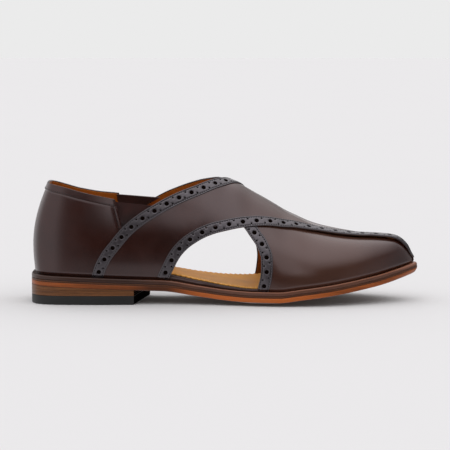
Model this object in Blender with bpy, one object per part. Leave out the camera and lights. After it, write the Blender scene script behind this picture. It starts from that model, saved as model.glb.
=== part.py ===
"""Crossed-strap leather chappal shoe for the right foot, built the way it is made.

Lengths are metres and Z is up. The toe points to +X and the inner side of the foot is +Y.
The shoe stands on its heel tip and forefoot, with the origin under the middle of its box.
"""

import math
from collections import namedtuple

import bmesh
import bpy
import numpy as np
from mathutils import Vector

# Driving sizes of the sole
SHOE_LENGTH = 0.305
BALL_WIDTH = 0.102
OUTSOLE_THICKNESS = 0.0048
WELT_THICKNESS = 0.0033
HEEL_HEIGHT = 0.0148
HEEL_TIP_THICKNESS = 0.0070
HEEL_BREAST = 0.0815
HEEL_BREAST_SKEW = 0.0105
TOE_SPRING = 0.0225
FOREPART_DOME = 0.0030
LAYER_GAP = 0.0003

# Driving sizes of the footbed
INSOLE_THICKNESS = 0.0042
INNER_RISE = 0.0037
SOCK_THICKNESS = 0.0010
SOCK_MARGIN = 0.0020
FOOTBED_CLEARANCE = 0.0004

# Driving sizes of the last and the upper that is drawn over it
WELT_MARGIN = 0.0048
INSTEP_HEIGHT = 0.0787
HEEL_CURVE_LEAN = 0.0108
HEEL_CURVE_BULGE = 0.0060
LEATHER_THICKNESS = 0.0018
STRAP_LIFT = 0.0010
STRAP_STEP = 0.0012
BAND_WIDTH = 0.0090
BAND_STEP = 0.0007
BINDING_WIDTH = 0.0065
BINDING_STEP = 0.0005
GORE_THICKNESS = 0.0012
GORE_GAP = 0.0003
FEATHER_REACH = 0.014
FEATHER_ROLL = 0.004
FEATHER_DRAW = 0.6

# Outline of the sole from the heel round the outer side to the toe and back along the inner side.
# along is a share of SHOE_LENGTH and across a share of BALL_WIDTH, negative on the outer side.
OutlinePoint = namedtuple("OutlinePoint", "along across")
OUTLINE = [
    OutlinePoint(0.000, 0.000),
    OutlinePoint(0.001, -0.110),
    OutlinePoint(0.005, -0.188),
    OutlinePoint(0.022, -0.272),
    OutlinePoint(0.055, -0.318),
    OutlinePoint(0.110, -0.337),
    OutlinePoint(0.190, -0.342),
    OutlinePoint(0.310, -0.325),
    OutlinePoint(0.430, -0.338),
    OutlinePoint(0.540, -0.405),
    OutlinePoint(0.640, -0.456),
    OutlinePoint(0.740, -0.445),
    OutlinePoint(0.840, -0.362),
    OutlinePoint(0.920, -0.240),
    OutlinePoint(0.975, -0.118),
    OutlinePoint(1.000, 0.000),
    OutlinePoint(0.977, 0.124),
    OutlinePoint(0.925, 0.250),
    OutlinePoint(0.850, 0.378),
    OutlinePoint(0.760, 0.470),
    OutlinePoint(0.680, 0.494),
    OutlinePoint(0.580, 0.432),
    OutlinePoint(0.470, 0.305),
    OutlinePoint(0.360, 0.255),
    OutlinePoint(0.250, 0.290),
    OutlinePoint(0.160, 0.324),
    OutlinePoint(0.100, 0.320),
    OutlinePoint(0.052, 0.298),
    OutlinePoint(0.021, 0.256),
    OutlinePoint(0.005, 0.180),
    OutlinePoint(0.001, 0.108),
]

# Underside of the outsole along the shoe: heel is a share of HEEL_HEIGHT, toe of TOE_SPRING, dome of
# FOREPART_DOME, board of INSOLE_THICKNESS, and rise of INNER_RISE. The heel seat is straight as far as
# along 0.34, and the forefoot lies flat on the floor from 0.575 to 0.635.
SoleStation = namedtuple("SoleStation", "along heel toe dome board rise")
SOLE_STATIONS = [
    SoleStation(0.000, 1.000, 0.000, 0.00, 0.72, 0.00),
    SoleStation(0.150, 0.872, 0.000, 0.00, 0.80, 0.00),
    SoleStation(0.300, 0.743, 0.000, 0.00, 1.00, 0.02),
    SoleStation(0.340, 0.709, 0.000, 0.05, 1.00, 0.08),
    SoleStation(0.435, 0.375, 0.000, 0.35, 0.82, 0.48),
    SoleStation(0.510, 0.130, 0.000, 0.70, 0.62, 0.84),
    SoleStation(0.575, 0.000, 0.000, 1.00, 0.52, 1.00),
    SoleStation(0.635, 0.000, 0.000, 1.00, 0.50, 0.92),
    SoleStation(0.690, 0.000, 0.095, 0.95, 0.50, 0.68),
    SoleStation(0.740, 0.000, 0.205, 0.72, 0.50, 0.42),
    SoleStation(0.790, 0.000, 0.325, 0.52, 0.50, 0.20),
    SoleStation(0.843, 0.000, 0.455, 0.48, 0.50, 0.06),
    SoleStation(0.898, 0.000, 0.630, 0.20, 0.50, 0.00),
    SoleStation(0.950, 0.000, 0.820, 0.05, 0.50, 0.00),
    SoleStation(1.000, 0.000, 1.000, 0.00, 0.50, 0.00),
]
FLAT_SPOT = (0.575, 0.635)
DOME_START = 0.55

# Sections of the last between the feather edge and the crest: crest is the height of the crest line over
# the feather edge as a share of INSTEP_HEIGHT, lead how far it runs ahead of its own feather points as a
# share of SHOE_LENGTH, shift its sideways place as a share of BALL_WIDTH, round the exponent of the
# section, and the two bulges how far the walls swell past the feather edge.
LastSection = namedtuple("LastSection", "along crest lead shift round outer_bulge inner_bulge")
LAST_SECTIONS = [
    LastSection(0.000, 1.268, 0.0000, 0.000, 0.75, 0.10, 0.10),
    LastSection(0.160, 1.240, 0.0000, 0.000, 0.75, 0.10, 0.11),
    LastSection(0.320, 1.154, 0.0000, 0.010, 0.90, 0.12, 0.24),
    LastSection(0.410, 1.108, 0.0000, 0.020, 1.05, 0.13, 0.36),
    LastSection(0.460, 1.070, 0.0000, 0.028, 1.10, 0.12, 0.36),
    LastSection(0.494, 1.035, 0.0000, 0.030, 1.10, 0.10, 0.30),
    LastSection(0.525, 1.003, 0.0000, 0.030, 1.08, 0.09, 0.24),
    LastSection(0.565, 0.932, 0.0000, 0.030, 1.05, 0.07, 0.17),
    LastSection(0.617, 0.821, 0.0000, 0.028, 1.00, 0.05, 0.09),
    LastSection(0.671, 0.693, 0.0000, 0.025, 0.95, 0.03, 0.05),
    LastSection(0.728, 0.562, 0.0010, 0.022, 0.90, 0.02, 0.03),
    LastSection(0.783, 0.469, 0.0050, 0.018, 0.85, 0.02, 0.02),
    LastSection(0.835, 0.400, 0.0120, 0.014, 0.80, 0.02, 0.02),
    LastSection(0.885, 0.343, 0.0200, 0.010, 0.76, 0.02, 0.02),
    LastSection(0.925, 0.285, 0.0250, 0.006, 0.74, 0.02, 0.02),
    LastSection(0.955, 0.194, 0.0200, 0.003, 0.74, 0.02, 0.02),
    LastSection(0.978, 0.089, 0.0110, 0.001, 0.74, 0.02, 0.02),
    LastSection(0.992, 0.035, 0.0040, 0.000, 0.74, 0.02, 0.02),
    LastSection(1.000, 0.000, 0.0000, 0.000, 0.74, 0.02, 0.02),
]
HEEL_CURVE_REACH = 0.30
COLLAR_RISE = 0.72

# The over strap, line by line from the outer heel side across the instep to the inner toe side.
# along is a share of the last's length; girth runs from 0 at the outer feather edge over 1 at the crest
# to 2 at the inner feather edge. The under strap is the same pattern with the two sides exchanged, and
# under_along and under_girth are its own rear edge.
StrapLine = namedtuple(
    "StrapLine", "run rear_along rear_girth front_along front_girth under_along under_girth"
)
STRAP_LINES = [
    StrapLine(0.00, 0.148, 0.000, 0.350, 0.000, 0.148, 0.000),
    StrapLine(0.05, 0.158, 0.060, 0.364, 0.065, 0.158, 0.060),
    StrapLine(0.10, 0.175, 0.125, 0.381, 0.140, 0.175, 0.125),
    StrapLine(0.15, 0.200, 0.195, 0.405, 0.210, 0.199, 0.197),
    StrapLine(0.20, 0.232, 0.280, 0.438, 0.278, 0.230, 0.286),
    StrapLine(0.25, 0.272, 0.362, 0.477, 0.342, 0.269, 0.372),
    StrapLine(0.30, 0.318, 0.443, 0.520, 0.400, 0.314, 0.458),
    StrapLine(0.35, 0.372, 0.548, 0.572, 0.484, 0.369, 0.564),
    StrapLine(0.40, 0.426, 0.680, 0.630, 0.578, 0.422, 0.701),
    StrapLine(0.45, 0.472, 0.845, 0.694, 0.690, 0.467, 0.862),
    StrapLine(0.50, 0.507, 1.050, 0.755, 0.774, 0.494, 1.065),
    StrapLine(0.55, 0.530, 1.270, 0.820, 0.797, 0.513, 1.290),
    StrapLine(0.60, 0.545, 1.450, 0.880, 0.826, 0.531, 1.485),
    StrapLine(0.65, 0.558, 1.585, 0.925, 0.809, 0.560, 1.584),
    StrapLine(0.70, 0.577, 1.675, 0.950, 0.770, 0.584, 1.668),
    StrapLine(0.75, 0.588, 1.755, 0.968, 0.740, 0.595, 1.750),
    StrapLine(0.80, 0.591, 1.820, 1.000, 0.750, 0.596, 1.820),
    StrapLine(0.88, 0.589, 1.900, 1.000, 1.100, 0.593, 1.900),
    StrapLine(0.94, 0.586, 1.950, 1.000, 1.500, 0.589, 1.950),
    StrapLine(1.00, 0.582, 2.000, 1.000, 2.000, 0.586, 2.000),
]
STRAP_RISE_START = 0.12
STRAP_RISE_END = 0.36
TOE_BAND_END = 0.80
TOE_CROWDING = 0.7
TOE_CROWDING_START = 0.45

# Collar of the quarter from the back of the heel to its front corner, on the outer and the inner side
CollarPoint = namedtuple("CollarPoint", "along outer_girth inner_girth")
COLLAR = [
    CollarPoint(0.000, 0.497, 0.497),
    CollarPoint(0.050, 0.485, 0.473),
    CollarPoint(0.100, 0.465, 0.452),
    CollarPoint(0.160, 0.446, 0.441),
    CollarPoint(0.208, 0.436, 0.445),
]
QUARTER_FRONT_TOP = 0.208
QUARTER_FRONT_FOOT = 0.262

# Corners of the elastic gore that joins the quarter to the straps
GoreCorner = namedtuple("GoreCorner", "along girth")
GORE_REAR_TOP = GoreCorner(0.190, 0.430)
GORE_FRONT_TOP = GoreCorner(0.337, 0.442)
INNER_GORE_REAR_TOP = GoreCorner(0.190, 0.437)
INNER_GORE_FRONT_TOP = GoreCorner(0.337, 0.465)
GORE_REAR_FOOT = GoreCorner(0.203, 0.235)
GORE_FRONT_FOOT = GoreCorner(0.252, 0.240)

# How finely the curved pieces are divided
SOLE_STATION_COUNT = 46
STRAP_LINE_COUNT = 40
STRAP_FIELD_COLUMNS = 10
QUARTER_COLUMN_COUNT = 30
QUARTER_FIELD_ROWS = 6
GORE_COLUMN_COUNT = 8
GORE_ROW_COUNT = 5
OUTLINE_STEPS = 16
STEP_RAMP = 0.0005

FinishColour = namedtuple("FinishColour", "colour roughness")
BROWN_CALF = FinishColour((0.045, 0.022, 0.019, 1.0), 0.38)
DARK_BINDING = FinishColour((0.030, 0.017, 0.016, 1.0), 0.45)
TAN_LINING = FinishColour((0.520, 0.270, 0.100, 1.0), 0.55)
BROWN_ELASTIC = FinishColour((0.050, 0.020, 0.017, 1.0), 0.85)
DARK_WELT = FinishColour((0.070, 0.032, 0.022, 1.0), 0.42)
SOLE_LEATHER = FinishColour((0.300, 0.090, 0.035, 1.0), 0.40)
HEEL_LEATHER = FinishColour((0.150, 0.062, 0.028, 1.0), 0.42)
BLACK_RUBBER = FinishColour((0.017, 0.018, 0.018, 1.0), 0.60)


def clear_scene():
    """Empties the file that the script runs in."""
    for item in list(bpy.data.objects):
        bpy.data.objects.remove(item)


def ease(value):
    """Smooth step from 0 to 1."""
    share = min(max(value, 0.0), 1.0)
    return share * share * (3.0 - 2.0 * share)


def monotone_curve(positions, values):
    """A smooth curve through the points that never overshoots them."""
    spans = np.diff(positions)
    slopes = np.diff(values) / spans
    tangents = np.zeros(len(positions))
    tangents[0] = slopes[0]
    tangents[-1] = slopes[-1]
    for i in range(1, len(positions) - 1):
        if slopes[i - 1] * slopes[i] > 0.0:
            ahead = 2.0 * spans[i] + spans[i - 1]
            behind = spans[i] + 2.0 * spans[i - 1]
            tangents[i] = (ahead + behind) / (ahead / slopes[i - 1] + behind / slopes[i])

    def value_at(position):
        position = min(max(position, positions[0]), positions[-1])
        i = min(int(np.searchsorted(positions, position, side="right")) - 1, len(spans) - 1)
        t = (position - positions[i]) / spans[i]
        start = (1.0 + 2.0 * t) * (1.0 - t) ** 2 * values[i]
        start_pull = t * (1.0 - t) ** 2 * spans[i] * tangents[i]
        end = t * t * (3.0 - 2.0 * t) * values[i + 1]
        end_pull = t * t * (t - 1.0) * spans[i] * tangents[i + 1]
        return float(start + start_pull + end + end_pull)

    return value_at


def table_curves(rows, key):
    """One smooth curve for each column of a table, over its key column."""
    positions = np.array([getattr(row, key) for row in rows])
    return {
        name: monotone_curve(positions, np.array([getattr(row, name) for row in rows]))
        for name in rows[0]._fields
        if name != key
    }


def outline_polyline():
    """The sole's outline as a dense closed line, by Catmull-Rom arcs through its points."""
    points = [np.array([p.along * SHOE_LENGTH, p.across * BALL_WIDTH]) for p in OUTLINE]
    count = len(points)
    line = []
    for i in range(count):
        before, start, end, after = (points[(i + k) % count] for k in (-1, 0, 1, 2))
        for step in range(OUTLINE_STEPS):
            t = step / OUTLINE_STEPS
            line.append(
                0.5
                * (
                    2.0 * start
                    + (end - before) * t
                    + (2.0 * before - 5.0 * start + 4.0 * end - after) * t**2
                    + (3.0 * start - before - 3.0 * end + after) * t**3
                )
            )
    return np.array(line)


class PlanOutline:
    """The sole's outline drawn in by a margin, read as the two sides' places at a station."""

    def __init__(self, margin):
        line = outline_polyline()
        tangent = np.roll(line, -1, axis=0) - np.roll(line, 1, axis=0)
        tangent /= np.linalg.norm(tangent, axis=1)[:, None]
        inward = np.stack([-tangent[:, 1], tangent[:, 0]], axis=1)
        drawn = line + inward * margin
        toe = int(np.argmax(drawn[:, 0]))
        self.outer = drawn[: toe + 1]
        self.inner = np.concatenate([drawn[toe:], drawn[:1]])[::-1]
        self.back = float(self.outer[0, 0])
        self.front = float(self.outer[-1, 0])

    def sides(self, x):
        """The outer and inner y of the outline at x."""
        outer = float(np.interp(x, self.outer[:, 0], self.outer[:, 1]))
        inner = float(np.interp(x, self.inner[:, 0], self.inner[:, 1]))
        return outer, inner


SOLE_CURVES = table_curves(SOLE_STATIONS, "along")
LAST_CURVES = table_curves(LAST_SECTIONS, "along")
STRAP_CURVES = table_curves(STRAP_LINES, "run")
COLLAR_CURVES = table_curves(COLLAR, "along")
SOLE_OUTLINE = PlanOutline(0.0)
LAST_OUTLINE = PlanOutline(WELT_MARGIN)


def dome_share(x, y):
    """How far the point lies on the lifted edge of the forepart: 0 at the middle, 1 at the edge."""
    outer, inner = SOLE_OUTLINE.sides(x)
    reach = abs(2.0 * y - outer - inner) / max(inner - outer, LAYER_GAP)
    return max(0.0, (min(reach, 1.0) - DOME_START) / (1.0 - DOME_START))


def outsole_underside(x, y):
    """Height of the outsole's underside."""
    along = x / SHOE_LENGTH
    rise = HEEL_HEIGHT * SOLE_CURVES["heel"](along) + TOE_SPRING * SOLE_CURVES["toe"](along)
    return rise + FOREPART_DOME * SOLE_CURVES["dome"](along) * dome_share(x, y)


def welt_underside(x, y):
    """Height of the welt's underside, just above the outsole."""
    return outsole_underside(x, y) + OUTSOLE_THICKNESS + LAYER_GAP


def welt_top(x, y):
    """Height of the welt's top face."""
    return welt_underside(x, y) + WELT_THICKNESS


def insole_underside(x, y):
    """Height of the insole's underside, just above the welt."""
    return welt_top(x, y) + LAYER_GAP


def insole_top(x, y):
    """Height of the insole's top face: the board is thickest under the arch, and it cups up beside the
    inner edge of the foot."""
    along = x / SHOE_LENGTH
    outer, inner = SOLE_OUTLINE.sides(x)
    reach = (2.0 * y - outer - inner) / max(inner - outer, LAYER_GAP)
    cup = INNER_RISE * SOLE_CURVES["rise"](along) * min(max(reach, 0.0), 1.0) ** 2
    return insole_underside(x, y) + INSOLE_THICKNESS * SOLE_CURVES["board"](along) + cup


def sock_underside(x, y):
    """Height of the sock's underside, just above the insole."""
    return insole_top(x, y) + LAYER_GAP


def sock_top(x, y):
    """Height of the sock's top face."""
    return sock_underside(x, y) + SOCK_THICKNESS


def heel_curve(rise):
    """How far the last's back runs forward of its feather edge at a rise of 0 to 1."""
    turn = min(rise / COLLAR_RISE, 1.0)
    return HEEL_CURVE_LEAN * rise / COLLAR_RISE - HEEL_CURVE_BULGE * math.sin(math.pi * turn)


def last_point(along, girth):
    """A point on the last. along runs from heel to toe, and girth from 0 at the outer feather edge
    over 1 at the crest to 2 at the inner feather edge."""
    x = LAST_OUTLINE.back + (LAST_OUTLINE.front - LAST_OUTLINE.back) * along
    outer, inner = LAST_OUTLINE.sides(x)
    on_outer = girth <= 1.0
    side = outer if on_outer else inner
    angle = (girth if on_outer else 2.0 - girth) * math.pi / 2.0
    rise = math.sin(angle)
    bulge = LAST_CURVES["outer_bulge" if on_outer else "inner_bulge"](along)
    width = max(math.cos(angle), 0.0) ** LAST_CURVES["round"](along)
    width *= 1.0 + bulge * math.sin(math.pi * rise)
    foot = Vector((x, side, insole_underside(x, side)))
    crest_y = min(max(LAST_CURVES["shift"](along) * BALL_WIDTH, outer), inner)
    middle = Vector((x, crest_y, foot.z))
    crest_x = x + LAST_CURVES["lead"](along) * SHOE_LENGTH
    crest_z = insole_underside(x, crest_y) + LAST_CURVES["crest"](along) * INSTEP_HEIGHT
    crest = Vector((crest_x, crest_y, crest_z))
    point = middle + (foot - middle) * width + (crest - middle) * rise
    fade = max(0.0, 1.0 - along / HEEL_CURVE_REACH) ** 2
    point.x += heel_curve(rise) * fade
    return point


def feather_height(point):
    """How high a point of the last stands above the feather edge."""
    return point.z - insole_underside(point.x, point.y)


def last_normal(along, girth):
    """The last's outward direction, level at the feather edge."""
    if along > 0.9995:
        return Vector((1.0, 0.0, 0.0))
    step = 0.002
    if along < step:
        ahead = Vector((0.0, 1.0 if girth > 1.0 else -1.0, 0.0))
    else:
        ahead = last_point(min(along + step, 1.0), girth) - last_point(along - step, girth)
    around = last_point(along, min(girth + step, 2.0)) - last_point(along, max(girth - step, 0.0))
    normal = ahead.cross(around)
    normal.z *= ease(feather_height(last_point(along, girth)) / FEATHER_ROLL)
    return normal.normalized()


def skin_point(along, girth, ply, proud):
    """A point of the upper: ply is the height of its layer over the last, drawn in towards the feather
    edge, and proud is the height over that layer. At the feather edge it stands just clear of the welt."""
    base = last_point(along, girth)
    height = feather_height(base)
    drawn_in = FEATHER_DRAW + (1.0 - FEATHER_DRAW) * ease(height / FEATHER_REACH)
    point = base + last_normal(along, girth) * (ply * drawn_in + proud)
    near_foot = max(0.0, 1.0 - height / FEATHER_REACH) ** 2
    point.z += (welt_top(point.x, point.y) - welt_top(base.x, base.y)) * near_foot
    return point


def finish_material(name, finish):
    """A plain Principled material."""
    material = bpy.data.materials.new(name)
    material.use_nodes = True
    shader = material.node_tree.nodes["Principled BSDF"]
    shader.inputs["Base Color"].default_value = finish.colour
    shader.inputs["Roughness"].default_value = finish.roughness
    shader.inputs["Metallic"].default_value = 0.0
    return material


def new_object(name, mesh, finish, collection):
    """An object in the collection, shaded smooth apart from its sharp edges."""
    item = bpy.data.objects.new(name, mesh)
    collection.objects.link(item)
    mesh.materials.append(finish_material(name + "_finish", finish))
    mesh.shade_smooth()
    mesh.set_sharp_from_angle(angle=math.radians(40.0))
    return item


def bridge_walls(name, outside, inside):
    """A closed wall between two grids of points of the same size, with its four rims."""
    rows = len(outside)
    columns = len(outside[0])
    work = bmesh.new()
    out = [[work.verts.new(p) for p in row] for row in outside]
    back = [[work.verts.new(p) for p in row] for row in inside]
    for i in range(rows - 1):
        for j in range(columns - 1):
            work.faces.new((out[i][j], out[i][j + 1], out[i + 1][j + 1], out[i + 1][j]))
            work.faces.new((back[i][j], back[i + 1][j], back[i + 1][j + 1], back[i][j + 1]))
    for j in range(columns - 1):
        work.faces.new((out[0][j + 1], out[0][j], back[0][j], back[0][j + 1]))
        work.faces.new((out[-1][j], out[-1][j + 1], back[-1][j + 1], back[-1][j]))
    for i in range(rows - 1):
        work.faces.new((out[i][0], out[i + 1][0], back[i + 1][0], back[i][0]))
        work.faces.new((out[i + 1][-1], out[i][-1], back[i][-1], back[i + 1][-1]))
    bmesh.ops.remove_doubles(work, verts=work.verts, dist=1e-6)
    bmesh.ops.triangulate(work, faces=work.faces)
    bmesh.ops.recalc_face_normals(work, faces=work.faces)
    if work.calc_volume(signed=True) < 0.0:
        bmesh.ops.reverse_faces(work, faces=work.faces)
    mesh = bpy.data.meshes.new(name)
    work.to_mesh(mesh)
    work.free()
    return mesh


def station_places(outline):
    """Stations along an outline, closer together where its ends are round."""
    length = outline.front - outline.back
    turns = [math.pi * i / SOLE_STATION_COUNT for i in range(SOLE_STATION_COUNT + 1)]
    places = [outline.back + length * (1.0 - math.cos(turn)) / 2.0 for turn in turns]
    places += [share * SHOE_LENGTH for share in FLAT_SPOT]
    return sorted(places)


def sole_layer(name, margin, underside, top, finish, collection):
    """One layer of the bottom: a closed loft between two height functions inside the outline."""
    outline = PlanOutline(margin)
    shares = (0.0, (1.0 - DOME_START) / 2.0, (1.0 + DOME_START) / 2.0, 1.0)
    upper_rows = []
    lower_rows = []
    for x in station_places(outline):
        outer, inner = outline.sides(x)
        sides = [outer + (inner - outer) * share for share in shares]
        upper_rows.append([Vector((x, y, top(x, y))) for y in sides])
        lower_rows.append([Vector((x, y, underside(x, y))) for y in sides])
    mesh = bridge_walls(name, upper_rows, lower_rows)
    return new_object(name, mesh, finish, collection)


def heel_plan():
    """Corners of the heel in plan: the outline behind the slanting breast line."""
    line = outline_polyline()
    outer_y, inner_y = SOLE_OUTLINE.sides(HEEL_BREAST)

    def breast_x(y):
        return HEEL_BREAST + HEEL_BREAST_SKEW * (y - outer_y) / (inner_y - outer_y)

    behind = [p for p in line[::2] if p[0] < breast_x(p[1]) - LAYER_GAP]
    outer_side = [p for p in behind if p[1] <= 0.0]
    inner_side = [p for p in behind if p[1] > 0.0]
    inner_front = HEEL_BREAST + HEEL_BREAST_SKEW
    ends = [
        np.array([HEEL_BREAST, outer_y]),
        np.array([inner_front, SOLE_OUTLINE.sides(inner_front)[1]]),
    ]
    outer_side.sort(key=lambda p: p[0])
    inner_side.sort(key=lambda p: -p[0])
    return outer_side + ends + inner_side


def heel_layer(name, underside, top, finish, collection):
    """A layer of the heel between two height functions."""
    plan = heel_plan()
    work = bmesh.new()
    low = [work.verts.new((x, y, underside(x, y))) for x, y in plan]
    high = [work.verts.new((x, y, top(x, y))) for x, y in plan]
    work.faces.new(low[::-1])
    work.faces.new(high)
    for i in range(len(plan)):
        k = (i + 1) % len(plan)
        work.faces.new((low[i], low[k], high[k], high[i]))
    bmesh.ops.recalc_face_normals(work, faces=work.faces)
    bmesh.ops.triangulate(work, faces=work.faces)
    mesh = bpy.data.meshes.new(name)
    work.to_mesh(mesh)
    work.free()
    return new_object(name, mesh, finish, collection)


def strap_ply(run, crosses_over):
    """Height of a strap's layer: the over strap rises to clear the under strap."""
    rise = ease((run - STRAP_RISE_START) / (STRAP_RISE_END - STRAP_RISE_START))
    return STRAP_LIFT + (STRAP_STEP * rise if crosses_over else 0.0)


def band_rises(run):
    """How fully the rear and the front band stand at a run. The front band runs out at the toe."""
    return 1.0, ease((TOE_BAND_END - run) / 0.05)


def strap_columns(run, length):
    """Places across a strap from its rear to its front edge, each with the share of the rear and of the
    front band that it stands on. They crowd towards the front where the strap closes over the toe."""
    band = BAND_WIDTH / length
    ramp = STEP_RAMP / length
    crowding = 1.0 + TOE_CROWDING * ease((run - TOE_CROWDING_START) / 0.2)
    rear = [(0.0, 1.0, 0.0), (band / 2.0, 1.0, 0.0), (band, 1.0, 0.0)]
    field = []
    for i in range(STRAP_FIELD_COLUMNS + 1):
        share = 1.0 - (1.0 - i / STRAP_FIELD_COLUMNS) ** crowding
        field.append((band + ramp + (1.0 - 2.0 * (band + ramp)) * share, 0.0, 0.0))
    front = [(1.0 - share, 0.0, raised) for share, raised, _ in reversed(rear)]
    return rear + field + front


def strap_line(run, mirrored):
    """The two ends of one line across a strap, as (along, girth)."""
    ends = []
    for edge in ("under" if mirrored else "rear", "front"):
        along = STRAP_CURVES[edge + "_along"](run)
        girth = STRAP_CURVES[edge + "_girth"](run)
        ends.append((along, 2.0 - girth if mirrored else girth))
    return ends


def strap_mesh(name, crosses_over):
    """A crossing strap: a leather wall with a raised band along either edge."""
    outside = []
    inside = []
    for i in range(STRAP_LINE_COUNT + 1):
        run = i / STRAP_LINE_COUNT
        rear, front = strap_line(run, not crosses_over)
        ply = strap_ply(run, crosses_over)
        rear_band, front_band = band_rises(run)

        def place(share):
            return [rear[k] + (front[k] - rear[k]) * share for k in (0, 1)]

        samples = [last_point(*place(k / 12.0)) for k in range(13)]
        length = sum((b - a).length for a, b in zip(samples, samples[1:]))
        outer_row = []
        inner_row = []
        for share, on_rear, on_front in strap_columns(run, length):
            along, girth = place(share)
            raised = BAND_STEP * (on_rear * rear_band + on_front * front_band)
            outer_row.append(skin_point(along, girth, ply, LEATHER_THICKNESS + raised))
            inner_row.append(skin_point(along, girth, ply, 0.0))
        outside.append(outer_row)
        inside.append(inner_row)
    return bridge_walls(name, outside, inside)


def quarter_mesh(name):
    """The quarter round the heel, with its raised topline binding."""
    outside = []
    inside = []
    for i in range(QUARTER_COLUMN_COUNT + 1):
        turn = 2.0 * i / QUARTER_COLUMN_COUNT - 1.0
        top_along = QUARTER_FRONT_TOP * turn * turn
        foot_along = QUARTER_FRONT_FOOT * turn * turn
        top_girth = COLLAR_CURVES["inner_girth" if turn > 0.0 else "outer_girth"](top_along)
        height = (last_point(top_along, top_girth) - last_point(foot_along, 0.0)).length
        binding = BINDING_WIDTH / height
        ramp = STEP_RAMP / height
        field = [
            (1.0 - binding - ramp) * k / QUARTER_FIELD_ROWS for k in range(QUARTER_FIELD_ROWS + 1)
        ]
        shares = [(share, False) for share in field] + [(1.0 - binding, True), (1.0, True)]
        outer_row = []
        inner_row = []
        for share, raised in shares:
            along = foot_along + (top_along - foot_along) * share
            girth = top_girth * share
            if turn > 0.0:
                girth = 2.0 - girth
            proud = LEATHER_THICKNESS + (BINDING_STEP if raised else 0.0)
            outer_row.append(skin_point(along, girth, 0.0, proud))
            inner_row.append(skin_point(along, girth, 0.0, 0.0))
        outside.append(outer_row)
        inside.append(inner_row)
    return bridge_walls(name, outside, inside)


def join_by_union(base, others):
    """Fuses the other objects into the base and removes them."""
    for other in others:
        modifier = base.modifiers.new("join_" + other.name, "BOOLEAN")
        modifier.operation = "UNION"
        modifier.object = other
    bpy.context.view_layer.update()
    graph = bpy.context.evaluated_depsgraph_get()
    joined = bpy.data.meshes.new_from_object(base.evaluated_get(graph))
    base.modifiers.clear()
    base.data = joined
    for other in others:
        bpy.data.objects.remove(other)


def upper(collection):
    """The upper: the quarter and the two crossing straps, joined where they meet."""
    quarter = new_object("upper", quarter_mesh("upper"), BROWN_CALF, collection)
    under = new_object("under_strap", strap_mesh("under_strap", False), BROWN_CALF, collection)
    over = new_object("over_strap", strap_mesh("over_strap", True), BROWN_CALF, collection)
    join_by_union(quarter, [under, over])
    return quarter


def gore(name, mirrored, collection):
    """An elastic gore under the quarter's front edge and the straps' rear edges."""
    rear_top = INNER_GORE_REAR_TOP if mirrored else GORE_REAR_TOP
    front_top = INNER_GORE_FRONT_TOP if mirrored else GORE_FRONT_TOP
    outside = []
    inside = []
    for i in range(GORE_COLUMN_COUNT + 1):
        run = i / GORE_COLUMN_COUNT
        outer_row = []
        inner_row = []
        for k in range(GORE_ROW_COUNT + 1):
            drop = k / GORE_ROW_COUNT
            rear_along = rear_top.along + (GORE_REAR_FOOT.along - rear_top.along) * drop
            front_along = front_top.along + (GORE_FRONT_FOOT.along - front_top.along) * drop
            rear_girth = rear_top.girth + (GORE_REAR_FOOT.girth - rear_top.girth) * drop
            front_girth = front_top.girth + (GORE_FRONT_FOOT.girth - front_top.girth) * drop
            along = rear_along + (front_along - rear_along) * run
            girth = rear_girth + (front_girth - rear_girth) * run
            if mirrored:
                girth = 2.0 - girth
            outer_row.append(skin_point(along, girth, 0.0, -GORE_GAP))
            inner_row.append(skin_point(along, girth, 0.0, -GORE_GAP - GORE_THICKNESS))
        outside.append(outer_row)
        inside.append(inner_row)
    mesh = bridge_walls(name, outside, inside)
    return new_object(name, mesh, BROWN_ELASTIC, collection)


def stand_on_origin(items):
    """Moves every piece so that the shoe's box stands centred over the origin."""
    corners = np.array([vertex.co for item in items for vertex in item.data.vertices])
    low = corners.min(axis=0)
    high = corners.max(axis=0)
    shift = Vector((-(low[0] + high[0]) / 2.0, -(low[1] + high[1]) / 2.0, -low[2]))
    for item in items:
        item.location = shift


def main():
    clear_scene()
    collection = bpy.data.collections.new("crossed_strap_shoe")
    bpy.context.scene.collection.children.link(collection)

    def floor(x, y):
        return 0.0

    def tip_top(x, y):
        return HEEL_TIP_THICKNESS

    def heel_seam(x, y):
        return HEEL_TIP_THICKNESS + LAYER_GAP

    def under_outsole(x, y):
        return outsole_underside(x, 0.0) - LAYER_GAP

    def outsole_top(x, y):
        return outsole_underside(x, y) + OUTSOLE_THICKNESS

    board = WELT_MARGIN + FOOTBED_CLEARANCE
    lining = board + SOCK_MARGIN
    items = [
        heel_layer("heel_tip", floor, tip_top, BLACK_RUBBER, collection),
        heel_layer("heel_stack", heel_seam, under_outsole, HEEL_LEATHER, collection),
        sole_layer("outsole", 0.0, outsole_underside, outsole_top, SOLE_LEATHER, collection),
        sole_layer("welt", 0.0, welt_underside, welt_top, DARK_WELT, collection),
        sole_layer("insole", board, insole_underside, insole_top, DARK_BINDING, collection),
        sole_layer("sock", lining, sock_underside, sock_top, TAN_LINING, collection),
        upper(collection),
        gore("outer_gore", False, collection),
        gore("inner_gore", True, collection),
    ]
    stand_on_origin(items)


if __name__ == "__main__":
    main()
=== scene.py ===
"""Looks of a crossed-strap leather chappal shoe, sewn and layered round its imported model.

The leathers are drawn over the same last as the solids: every point of the upper is a place along the
last (0 heel, 1 toe), a girth (0 outer feather edge, 1 crest, 2 inner feather edge) and a height.
"""

import math

import bmesh
import bpy
import numpy as np
from bpy.props import FloatProperty, FloatVectorProperty, PointerProperty
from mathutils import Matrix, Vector
from mathutils.geometry import delaunay_2d_cdt


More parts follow.
